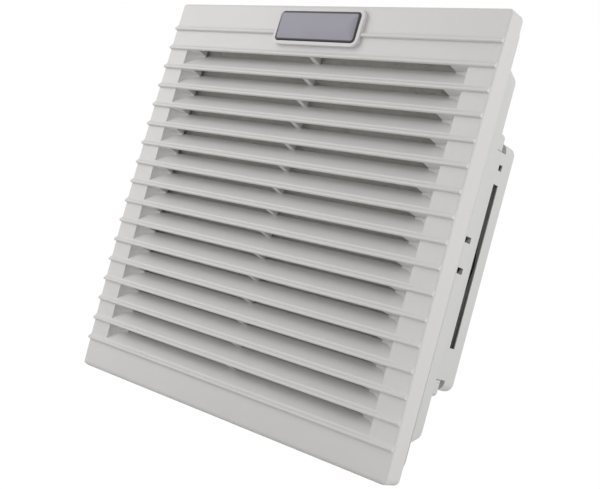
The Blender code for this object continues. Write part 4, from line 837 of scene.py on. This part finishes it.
class FILTERFAN_OT_cover(Operator):
    """Make the louvred cover with its lips, curved louvre ends and badge bezel"""
    bl_idname = "filterfan.cover"
    bl_label = "Louvred cover"
    ledge_places = (-0.060, 0.060)
    ledge_from_rim = 0.0029
    ledge_depth = 0.0013
    ledge_height = 0.0024
    ledge_half_width = 0.006
    lug_places = (-0.075, 0.075)
    lug_axis = (-0.0068, -0.1218)
    lug_radius = 0.0021
    lug_bore = 0.0013
    lug_half_width = 0.0025
    foot_half_depth = 0.0015
    foot_half_width = 0.0022

    def execute(self, context):
        shape = CoverShape()
        cover = self.shell(shape)
        self.louvres(cover, shape)
        self.bend(cover, shape)
        self.fittings(cover, shape)
        plastic = moulded_plastic("cover_grey", colours().cover, roughness=0.48)
        softened(dressed(cover, "cover_louvres", plastic, 32.0), shape.sizes.soft)
        stands_for(cover, "cover", "cover_grey", "cover_grille")
        return {"FINISHED"}

    @staticmethod
    def shell(shape):
        """The lipped front shell with its bezel, still without louvres."""
        sizes = shape.sizes
        wide = shape.half + shape.reach
        end = shape.half - sizes.lip_end
        square = rounded_outline(shape.half, shape.half, sizes.corner)
        bezel = shape.badge_outline(sizes.bezel_margin)
        cover = prism(shape.section(), -wide, wide, axis="X")
        combined(cover, prism(shape.side_rounding(), -wide, wide, axis="Z"), "INTERSECT")
        square_bar = prism(square, -sizes.lip_depth - shape.reach, sizes.depth + shape.reach)
        combined(cover, square_bar, "INTERSECT")
        combined(cover, prisms(shape.lips(), -end, end, axis="X"), "UNION")
        combined(cover, prism(bezel, -sizes.bezel_front, sizes.skin), "UNION")
        floor = shape.badge.thickness + shape.gap - shape.badge.proud - sizes.bezel_front
        recess = prism(shape.badge_outline(shape.gap / 2), -sizes.bezel_front - shape.reach, floor)
        return combined(cover, recess, "DIFFERENCE")

    @staticmethod
    def louvres(cover, shape):
        """Hollows the shell from behind, and cuts the channels and adds their middle webs."""
        sizes = shape.sizes
        ribs = range(2, sizes.ribs)
        inside = shape.half - sizes.wall
        inner = rounded_outline(inside, inside, sizes.corner - sizes.wall)
        top = shape.rib_z(2) + shape.slat_underside(sizes.louvre_depth) + sizes.wall
        bottom = shape.rib_z(sizes.ribs) - sizes.slat_floor
        half_x, half_z = shape.mouth + sizes.wall, (top - bottom) / 2
        field = rounded_outline(half_x, half_z, sizes.wall, (0.0, (top + bottom) / 2))
        hollow = prism(inner, sizes.skin, sizes.louvre_depth + shape.sink)
        combined(hollow, prism(field, -shape.reach, sizes.depth), "DIFFERENCE")
        combined(cover, prism(inner, sizes.louvre_depth, sizes.depth + shape.reach), "DIFFERENCE")
        combined(cover, hollow, "DIFFERENCE")
        channels = bmesh.new()
        for rib in ribs:
            shape.channel(channels, rib)
        combined(cover, blank(channels), "DIFFERENCE")
        webs = prisms([shape.web(rib) for rib in ribs], -sizes.web / 2, sizes.web / 2, axis="X")
        combined(cover, webs, "UNION")

    @staticmethod
    def bend(cover, shape):
        """Cuts the cover into two strips for each lip, moves it to its place and bows its face."""
        sizes = shape.sizes
        mesh = bmesh.new()
        mesh.from_mesh(cover.data)
        bmesh.ops.triangulate(mesh, faces=mesh.faces)
        for strip in range(1, 2 * sizes.ribs):
            place = (0, 0, shape.rib_z(strip / 2 + 0.25))
            everything = [*mesh.verts, *mesh.edges, *mesh.faces]
            bmesh.ops.bisect_plane(mesh, geom=everything, plane_co=place, plane_no=(0, 0, 1))
        mesh.to_mesh(cover.data)
        mesh.free()
        for vertex in cover.data.vertices:
            share = min(max((sizes.depth - vertex.co.y) / (sizes.depth - sizes.louvre_depth), 0.0), 1.0)
            vertex.co.y += shape.face_y - shape.bow_of(vertex.co.z) * share

    def fittings(self, cover, shape):
        """Ledges that the frame's catches hold, and hinge lugs round its pegs."""
        def add(outline, x, half_width, operation="UNION"):
            combined(cover, prism(outline, x - half_width, x + half_width, axis="X"), operation)

        wall = shape.half - shape.sizes.wall + shape.sink
        front = shape.face_y + shape.sizes.depth - self.ledge_from_rim
        ledge = rectangle((front, wall - self.ledge_height), (front + self.ledge_depth, wall))
        for x in self.ledge_places:
            add(ledge, x, self.ledge_half_width)
        y, z = self.lug_axis
        for x in self.lug_places:
            add(circle(self.lug_radius, self.lug_axis), x, self.lug_half_width)
            foot = rectangle((y - self.foot_half_depth, -wall), (y + self.foot_half_depth, z - shape.gap))
            add(foot, x, self.foot_half_width)
        for x in self.lug_places:
            add(circle(self.lug_bore, self.lug_axis), x, 2 * self.lug_half_width, "DIFFERENCE")


class FILTERFAN_OT_badge(Operator):
    """Give the bare badge plate its dark satin metal, and a painted dark reflection on its rim"""
    bl_idname = "filterfan.badge"
    bl_label = "Badge plate"
    rim_share = 0.35
    rim_steps = 6
    crown_steps = 8
    flat_middle = 0.0004

    def execute(self, context):
        sizes = context.scene.fan_badge
        shape = CoverShape()
        front = shape.face_y - shape.bow_of(shape.badge_z) - shape.sizes.bezel_front - sizes.proud
        back = front + sizes.thickness
        mesh = bmesh.new()
        rings = []
        for inset, rise in self.profile(sizes):
            rings.append(ring_of(mesh, [(x, back - rise, z) for x, z in shape.badge_outline(-inset)]))
        for near, far in zip(rings, rings[1:]):
            bridge(mesh, near, far)
        mesh.faces.new(rings[0])
        mesh.faces.new(rings[-1])
        face = brushed_metal("badge_metal", colours().badge, 0.36, depth=0.000008)
        plate = dressed(blank(mesh), "badge_face_plate", face, 60)
        # Painted reflection: the rim's faces get a darker coat in place of dark surroundings mirrored in the
        # rounded rim.
        plate.data.materials.append(painted_casting("painted_rim_reflection", colours().painted_rim_reflection, 0.38))
        for polygon in plate.data.polygons:
            if polygon.center.y > front + sizes.edge * self.rim_share:
                polygon.material_index = 1
        stands_for(plate, "cover", "badge_metal", "badge_plate")
        return {"FINISHED"}

    def profile(self, sizes):
        """(inset, rise) pairs from the back edge over the rounded rim to the crown's middle."""
        edge = sizes.edge
        shoulder = sizes.thickness - sizes.crown
        pairs = [(0.0, 0.0), (0.0, shoulder - edge)]
        for angle in quarter_turn(self.rim_steps)[1:]:
            pairs.append((edge * (1 - cos(angle)), shoulder - edge * (1 - sin(angle))))
        for step in range(1, self.crown_steps + 1):
            share = step / self.crown_steps
            inset = edge + (sizes.height / 2 - edge - self.flat_middle) * share
            pairs.append((inset, sizes.thickness - sizes.crown * (1 - share) ** 2))
        return pairs


class FILTERFAN_OT_mount(Operator):
    """Make the frame's sloping body and the rear box, and give gasket and grid their finishes"""
    bl_idname = "filterfan.mount"
    bl_label = "Frame and rear box"
    body_front = -0.001
    body_corner = 0.012
    box_corner = 0.010
    plug_share = 0.9
    play = 0.0003
    lip = 0.0007
    latch = (
        (0.0790, 0.0812), (0.0872, 0.0812), (0.0886, 0.0792), (0.0886, 0.0712),
        (0.0870, 0.0712), (0.0866, 0.0768), (0.0850, 0.0787), (0.0790, 0.0787),
    )
    window = (
        (0.0832, 0.0790), (0.0832, 0.0748), (0.0858, 0.0728),
        (0.0866, 0.0706), (0.0900, 0.0706), (0.0900, 0.0790),
    )

    def execute(self, context):
        sizes = context.scene.fan_box
        plastic = moulded_plastic("housing_grey", colours().housing, 0.0007, 0.00003, roughness=0.42)
        finish_nodes(plastic, "filter_grid")
        finish_nodes(foam_strip("foam", colours().foam), "flange_gasket")
        for made, name, node in ((self.body(sizes), "snap_frame", "mounting_frame"),
                                 (self.box(sizes), "rear_box", "rear_housing")):
            evenly_lit(dressed(made, name, plastic, 30.0))
            stands_for(made, "frame", "housing_grey", node)
        return {"FINISHED"}

    def body(self, sizes):
        """The snap-in frame with tighter corners, and an upper and lower wall that slope in behind the grid.

        The noses at the ends of its hooks grip round the box's four corners.
        """
        body = copy_of("mounting_frame")
        combined(body, prisms(four_ways(self.latch), sizes.latch_front, sizes.latch_rear), "UNION")
        fillers = corner_fillers(sizes.body, sizes.body, sizes.body_corner, self.body_corner)
        combined(body, prisms(fillers, self.body_front, sizes.body_rear), "UNION")
        mesh = bmesh.new()
        mesh.from_mesh(body.data)
        everything = [*mesh.verts, *mesh.edges, *mesh.faces]
        bmesh.ops.bisect_plane(mesh, geom=everything, plane_co=(0, sizes.slope_start, 0), plane_no=(0, 1, 0))
        for vertex in mesh.verts:
            share = (vertex.co.y - sizes.slope_start) / (sizes.body_rear - sizes.slope_start)
            if share > 0 and abs(vertex.co.z) > sizes.slope_edge:
                vertex.co.z -= sizes.slope * share * (1 if vertex.co.z > 0 else -1)
        mesh.to_mesh(body.data)
        mesh.free()
        return body

    def box(self, sizes):
        """The rear box with its tighter corners, whose sides have one hole, a slot and latch windows."""
        box = copy_of("rear_housing")
        fillers = corner_fillers(sizes.box_x, sizes.box_z, sizes.box_corner, self.box_corner)
        combined(box, prisms(fillers, sizes.box_front, sizes.box_rear), "UNION")
        wall = sizes.box_wall
        plug = rectangle_about((sizes.slot_y, -sizes.hole_z), sizes.hole + self.play, sizes.hole + self.play)
        low = (sizes.slot_y - sizes.slot_width, -sizes.slot_length)
        high = (sizes.slot_y + sizes.slot_width, sizes.slot_length)
        deep = sizes.box_x - wall * 2
        slot, groove = rectangle(low, high), rectangle(low, (high[0] + wall, high[1]))
        steps = (
            (plug, sizes.box_x - wall * self.plug_share, sizes.box_x, "UNION"),
            (slot, deep, sizes.box_x + wall, "DIFFERENCE"),
            (groove, deep, sizes.box_x - self.lip, "DIFFERENCE"),
        )
        for side in (-1, 1):
            for outline, inner, outer, operation in steps:
                near, far = sorted((side * inner, side * outer))
                combined(box, prism(outline, near, far, axis="X"), operation)
        windows = prisms(four_ways(self.window), sizes.latch_front - self.play, sizes.window_rear)
        return combined(box, windows, "DIFFERENCE")


class FILTERFAN_OT_mat(Operator):
    """Make the soft filter mat in the frame's tray"""
    bl_idname = "filterfan.mat"
    bl_label = "Filter mat"
    seed = 7
    layers = 7
    hollow_cells = 3.0
    fuzz_cells = 1.0
    hollow_share = 0.35
    fuzz_share = 0.15
    waist = 0.003

    def execute(self, context):
        sizes = context.scene.fan_mat
        low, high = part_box("filter_mat")
        wide, deep = high.x - low.x, high.y - low.y
        count = sizes.cells
        generator = np.random.default_rng(self.seed)
        hollows = smooth_field(generator, count + 1, self.hollow_cells)
        fuzz = smooth_field(generator, count + 1, self.fuzz_cells)
        relief = sizes.hollow * (0.5 + self.hollow_share * hollows + self.fuzz_share * fuzz)
        middle = (low.y + high.y) / 2

        def point(layer, i, j):
            """A point of the mat: its faces are hollowed and its cut edges pulled in."""
            a, b = i / count, j / count
            edge = min(a, 1 - a, b, 1 - b) * wide
            rounding = sizes.pinch * max(0.0, 1 - edge / sizes.pinch_reach) ** 2
            y = low.y + deep * layer / (self.layers - 1)
            if layer == 0:
                y += relief[i, j] + rounding
            if layer == self.layers - 1:
                y -= relief[j, i] + rounding
            squeeze = 1 - self.waist * (1 - abs(y - middle) / deep * 2)
            return (low.x + wide * a) * squeeze, y, (low.z + (high.z - low.z) * b) * squeeze

        mesh = self.skin(point, count)
        mat = dressed(blank(mesh), "filter_mat_fleece", needled_fleece("fleece", colours().fleece), 80)
        stands_for(mat, "frame", "fleece", "filter_mat")
        return {"FINISHED"}

    def skin(self, point, count):
        """Front and back as grids and the four cut sides between them."""
        mesh = bmesh.new()
        made = {}

        def vertex(*place):
            if place not in made:
                made[place] = mesh.verts.new(point(*place))
            return made[place]

        for layer in (0, self.layers - 1):
            for i in range(count):
                for j in range(count):
                    corners = ((i, j), (i + 1, j), (i + 1, j + 1), (i, j + 1))
                    mesh.faces.new([vertex(layer, *corner) for corner in corners])
        border = [(i, 0) for i in range(count)] + [(count, j) for j in range(count)]
        border += [(i, count) for i in range(count, 0, -1)] + [(0, j) for j in range(count, 0, -1)]
        for layer in range(self.layers - 1):
            for near, far in zip(border, border[1:] + border[:1]):
                places = ((layer, *near), (layer, *far), (layer + 1, *far), (layer + 1, *near))
                mesh.faces.new([vertex(*place) for place in places])
        return mesh


class FILTERFAN_OT_impeller(Operator):
    """Make the moulded impeller with its twisted blades"""
    bl_idname = "filterfan.impeller"
    bl_label = "Impeller"
    chamfer = 0.0008
    sink = 0.0011
    stations = 14
    steps = 20
    edge_thickness = 0.35
    fullest = 0.35
    nose_start = 0.3

    def execute(self, context):
        sizes = context.scene.fan_impeller
        mesh = bmesh.new()
        profile = [
            (sizes.bore, sizes.front),
            (sizes.hub - self.chamfer, sizes.front),
            (sizes.hub, sizes.front + self.chamfer),
            (sizes.hub, sizes.rear - self.chamfer),
            (sizes.hub - self.chamfer, sizes.rear),
            (sizes.bore, sizes.rear),
        ]
        add_turned(mesh, profile, 128)
        for index in range(sizes.blades):
            self.blade(mesh, sizes, index)
        plastic = moulded_plastic("black_plastic", colours().plastic, 0.0006, roughness=0.45, mottle=0.15)
        impeller = dressed(blank(mesh), "impeller_blades", plastic, 40)
        stands_for(impeller, "rotor", "black_plastic", "impeller")
        return {"FINISHED"}

    def blade(self, mesh, sizes, index):
        """One blade through sections that lie on cylinders about the axis, with its root in the hub."""
        steps = self.steps
        root = sizes.hub - self.sink
        middle = (sizes.front + sizes.rear) / 2
        sections = []
        for station in range(self.stations):
            share = station / (self.stations - 1)
            radius = root + (sizes.tip - root) * share
            chord = sizes.root_chord + (sizes.tip_chord - sizes.root_chord) * share
            angle = radians(sizes.root_angle + (sizes.tip_angle - sizes.root_angle) * share)
            lean = radians(sizes.sweep) * share + 2 * pi * index / sizes.blades
            upper, lower = [], []
            for i in range(steps + 1):
                along = (i / steps - 0.5) * chord
                camber = sizes.camber * chord * (1 - (2 * i / steps - 1) ** 2)
                half_thick = sizes.thickness / 2 * self.fullness(i / steps)
                for side, store in ((1, upper), (-1, lower)):
                    across = camber + side * half_thick
                    turn = (along * sin(angle) - across * cos(angle)) / radius + lean
                    axial = along * cos(angle) + across * sin(angle)
                    store.append((radius * cos(turn), middle + axial, radius * sin(turn)))
            sections.append(ring_of(mesh, upper + lower[::-1]))
        for near, far in zip(sections, sections[1:]):
            bridge(mesh, near, far)
        last = 2 * steps + 1
        for section in (sections[0], sections[-1]):
            for i in range(steps):
                mesh.faces.new((section[i], section[i + 1], section[last - 1 - i], section[last - i]))

    def fullness(self, share):
        """Thickness along the chord as a share of the fullest: a blunt nose, then a thin tail."""
        thin = self.edge_thickness
        if share < self.fullest:
            nose = self.nose_start + (1 - self.nose_start) * share / self.fullest
            return thin + (1 - thin) * sin(pi / 2 * nose)
        return thin + (1 - thin) * (1 - share) / (1 - self.fullest)


class FILTERFAN_OT_fan(Operator):
    """Give the fan's ring and motor their finishes"""
    bl_idname = "filterfan.fan"
    bl_label = "Fan and motor"

    def execute(self, context):
        finish_nodes(painted_casting("cast_metal", colours().casting, 0.62), "fan_frame")
        finish_nodes(painted_casting("rotor_paint", colours().rotor, 0.5), "rotor_cup")
        finish_nodes(brushed_metal("aluminium", colours().aluminium, 0.35, (1.0, 0.05, 1.0)), "rotor_cage")
        finish_nodes(laminated_steel("lamination", colours().steel), "stator_core")
        finish_nodes(enamelled_wire("copper", colours().copper), "winding_front", "winding_rear")
        bright = plated_metal("bearing_steel", colours().steel, 0.22)
        finish_nodes(bright, "front_bearing", "rear_bearing", "wave_washer", "retaining_ring", "motor_shaft")
        return {"FINISHED"}


class FILTERFAN_OT_guard(Operator):
    """Make the wire guard, its cross-recessed screws and their nuts"""
    bl_idname = "filterfan.guard"
    bl_label = "Guard and fasteners"
    wire_sides = 12
    turned_sides = 36
    eye_radius = 0.0034
    eye_width = 0.0011
    eye_depth = 0.0009
    eye_sink = 0.0001
    head_front = 0.08507
    head_rear = 0.08747
    head_rim = 0.35
    head_flat = 0.45
    tip = 0.0718
    tip_share = 0.7
    core_share = 0.86
    recess_depth = 0.0013
    recess_half_length = 0.0021
    recess_half_width = 0.00045
    overcut = 0.001
    nut_front = 0.0733
    nut_rear = 0.0765
    flats = 0.0035
    chamfer = 0.0004
    thread_gap = 0.00005

    def execute(self, context):
        sizes = context.scene.fan_guard
        steel = plated_metal("steel", colours().steel, 0.3)
        stands_for(dressed(self.guard(sizes), "wire_guard", steel, 50), "frame", "steel", "finger_guard")
        for side_z, z in (("lower", -sizes.bolt), ("upper", sizes.bolt)):
            for side_x, x in (("left", -sizes.bolt), ("right", sizes.bolt)):
                place = f"{side_z}_{side_x}"
                screw = dressed(self.screw(sizes, (x, z)), f"screw_{place}", steel, 40)
                stands_for(screw, "frame", "steel", f"guard_screw_{place}")
                nut = dressed(self.nut(sizes, (x, z)), f"nut_{place}", steel, 30)
                stands_for(nut, "frame", "steel", f"guard_nut_{place}")
        return {"FINISHED"}

    def guard(self, sizes):
        """Rings welded in front of two crossed wires that end in flattened eyes."""
        mesh = bmesh.new()
        for k in range(sizes.rings):
            radius = sizes.first + (sizes.last - sizes.first) * k / (sizes.rings - 1)
            points = [(x, sizes.ring_y, z) for x, z in circle(radius, (0.0, 0.0), 48 + 16 * k)]
            add_tube(mesh, points, sizes.wire, self.wire_sides, closed=True)
        for turn in (pi / 4, -pi / 4):
            x, z = sizes.reach * sin(turn), sizes.reach * cos(turn)
            points = [(-x, sizes.cross_y, -z), (0.0, sizes.cross_y, 0.0), (x, sizes.cross_y, z)]
            add_tube(mesh, points, sizes.wire, self.wire_sides)
        eye = []
        for angle in whole_turn(self.wire_sides):
            radius = self.eye_radius + self.eye_width * cos(angle)
            eye.append((radius, sizes.cross_y - self.eye_sink + self.eye_depth * sin(angle)))
        for x in (-sizes.bolt, sizes.bolt):
            for z in (-sizes.bolt, sizes.bolt):
                add_turned(mesh, eye, self.turned_sides, (x, z))
        return blank(mesh)

    def screw(self, sizes, middle):
        """A pan-head screw with a cross recess and a turned thread."""
        core = sizes.shank * self.core_share
        profile = [(0.0, self.tip), (sizes.shank * self.tip_share, self.tip)]
        for turn in range(1, int((self.head_front - self.tip) / sizes.pitch)):
            y = self.tip + turn * sizes.pitch
            profile += [(sizes.shank, y), (core, y + sizes.pitch / 2)]
        profile += [(core, self.head_front), (sizes.head, self.head_front)]
        height = self.head_rear - self.head_front
        for angle in quarter_turn(8)[:-1]:
            rise = self.head_front + height * (self.head_rim + (1 - self.head_rim) * sin(angle))
            profile.append((sizes.head * (self.head_flat + (1 - self.head_flat) * cos(angle)), rise))
        profile.append((0.0, self.head_rear))
        mesh = bmesh.new()
        add_turned(mesh, profile, self.turned_sides, middle)
        screw = blank(mesh)
        halves = (self.recess_half_length, self.recess_half_width)
        for half_x, half_z in (halves, halves[::-1]):
            slot = rectangle_about(middle, half_x, half_z)
            cutter = prism(slot, self.head_rear - self.recess_depth, self.head_rear + self.overcut)
            combined(screw, cutter, "DIFFERENCE")
        return screw

    def nut(self, sizes, middle):
        """A hexagon nut with chamfered corners."""
        corner = self.flats / cos(pi / 6)
        bore = sizes.shank + self.thread_gap
        face = self.flats - self.chamfer / 2
        low, high = self.nut_front, self.nut_rear
        mesh = bmesh.new()
        profile = [
            (bore, low - self.chamfer / 2),
            (face, low - self.chamfer / 2),
            (corner, low + self.chamfer),
            (corner, high - self.chamfer),
            (face, high + self.chamfer / 2),
            (bore, high + self.chamfer / 2),
        ]
        add_turned(mesh, profile, 48, middle)
        return combined(prism(circle(corner, middle, 6), low, high), blank(mesh), "INTERSECT")


class FILTERFAN_OT_terminals(Operator):
    """Give the terminal block, its screws and the earth tab their finishes"""
    bl_idname = "filterfan.terminals"
    bl_label = "Terminals"

    def execute(self, context):
        plastic = moulded_plastic("terminal_plastic", colours().plastic, 0.0004, roughness=0.4, mottle=0.12)
        finish_nodes(plastic, "terminal_block")
        brass = plated_metal("brass", colours().brass, 0.28, 0.004)
        finish_nodes(brass, "clamp_screw_1", "clamp_screw_2", "clamp_screw_3", "earth_tab")
        steel = plated_metal("screw_steel", colours().steel, 0.3)
        finish_nodes(steel, "terminal_screw_lower", "terminal_screw_upper")
        return {"FINISHED"}


class FILTERFAN_OT_stage(Operator):
    """Make the floor, the light and the camera"""
    bl_idname = "filterfan.stage"
    bl_label = "Stage"
    floor_half = 3.0
    floor_colour = (0.82, 0.82, 0.82, 1.0)
    floor_glow = 1.06
    floor_share = 0.9
    key_place = (-0.75, -0.75, 0.40)
    key_size = 0.9
    fill_place = (1.1, 0.1, 0.35)
    fill_size = 0.8
    sensor = 36.0
    camera_right = (0.7423, 0.6155, 0.2649)
    camera_back = (0.6459, -0.7624, -0.0385)

    def execute(self, context):
        sizes = context.scene.fan_stage
        self.make_floor(CAD_BOX[0].z)
        self.make_world(sizes.ambient)
        self.make_softbox("key_softbox", self.key_place, self.key_size, sizes.key)
        self.make_softbox("fill_softbox", self.fill_place, self.fill_size, sizes.fill)
        self.make_camera(sizes)
        context.scene.view_settings.view_transform = "Standard"
        return {"FINISHED"}

    def make_floor(self, height):
        mesh = bmesh.new()
        corners = rectangle_about((0.0, 0.0), self.floor_half, self.floor_half)
        mesh.faces.new(ring_of(mesh, [(x, y, height) for x, y in corners]))
        finish = Finish("pale_floor")
        finish.set(Base_Color=self.floor_colour, Roughness=0.9, Specular_IOR_Level=0.1)
        light = finish.add("ShaderNodeEmission", {}, {"Color": WHITE, "Strength": self.floor_glow})
        finish.show(finish.shader, light, finish.seen() * self.floor_share, "Material Output")
        floor = dressed(blank(mesh), "floor", finish.material)
        if floor.data.polygons[0].normal.z < 0:
            floor.data.flip_normals()

    @staticmethod
    def make_world(ambient):
        world = bpy.data.worlds.new("studio")
        bpy.context.scene.world = world
        world.use_nodes = True
        nodes = Nodes(world.node_tree)
        even = nodes.tree.nodes["Background"]
        nodes.fill(even.inputs["Color"], WHITE)
        nodes.fill(even.inputs["Strength"], ambient)
        white = nodes.add("ShaderNodeBackground", {}, {"Color": WHITE, "Strength": 1.0})
        nodes.show(even, white, nodes.seen(), "World Output")

    @staticmethod
    def make_softbox(name, place, size, power):
        light = bpy.data.lights.new(name, "AREA")
        light.shape = "SQUARE"
        light.size = size
        light.energy = power
        lamp = placed(name, light)
        lamp.location = place
        lamp.rotation_euler = (-Vector(place)).to_track_quat("-Z", "Y").to_euler()

    def make_camera(self, sizes):
        data = bpy.data.cameras.new("camera")
        data.lens = sizes.lens
        data.sensor_width = self.sensor
        data.shift_x, data.shift_y = sizes.shift
        right = Vector(self.camera_right).normalized()
        back = Vector(self.camera_back).normalized()
        up = back.cross(right).normalized()
        turn = Matrix((right, up, back)).transposed().to_4x4()
        camera = placed("camera", data)
        camera.matrix_world = Matrix.Translation(Vector(sizes.camera_place)) @ turn
        bpy.context.scene.camera = camera


class FILTERFAN_PT_panel(Panel):
    """Lists the pieces of the filter fan"""
    bl_idname = "FILTERFAN_PT_panel"
    bl_label = "Filter fan"
    bl_space_type = "VIEW_3D"
    bl_region_type = "UI"
    bl_category = "Filter Fan"

    def draw(self, context):
        layout = self.layout
        for operator in OPERATORS:
            layout.operator(operator.bl_idname)
        for group in (getattr(context.scene, name) for name in GROUPS):
            box = layout.box()
            for name in group.__annotations__:
                box.prop(group, name)


GROUPS = {
    "fan_colours": FanColours,
    "fan_cover": CoverSizes,
    "fan_badge": BadgeSizes,
    "fan_box": BoxSizes,
    "fan_mat": MatSizes,
    "fan_impeller": ImpellerSizes,
    "fan_guard": GuardSizes,
    "fan_stage": StageSizes,
}
OPERATORS = (
    FILTERFAN_OT_cover,
    FILTERFAN_OT_badge,
    FILTERFAN_OT_mount,
    FILTERFAN_OT_mat,
    FILTERFAN_OT_impeller,
    FILTERFAN_OT_fan,
    FILTERFAN_OT_guard,
    FILTERFAN_OT_terminals,
    FILTERFAN_OT_stage,
)


def register():
    for name, group in GROUPS.items():
        bpy.utils.register_class(group)
        setattr(bpy.types.Scene, name, PointerProperty(type=group))
    for made in (*OPERATORS, FILTERFAN_PT_panel):
        bpy.utils.register_class(made)


def unregister():
    for made in (FILTERFAN_PT_panel, *reversed(OPERATORS)):
        bpy.utils.unregister_class(made)
    for name, group in reversed(GROUPS.items()):
        delattr(bpy.types.Scene, name)
        bpy.utils.unregister_class(group)


def main():
    """Makes every piece in order."""
    register()
    for operator in OPERATORS:
        group, name = operator.bl_idname.split(".")
        getattr(getattr(bpy.ops, group), name)()
    bpy.context.view_layer.update()


if __name__ == "__main__":
    main()
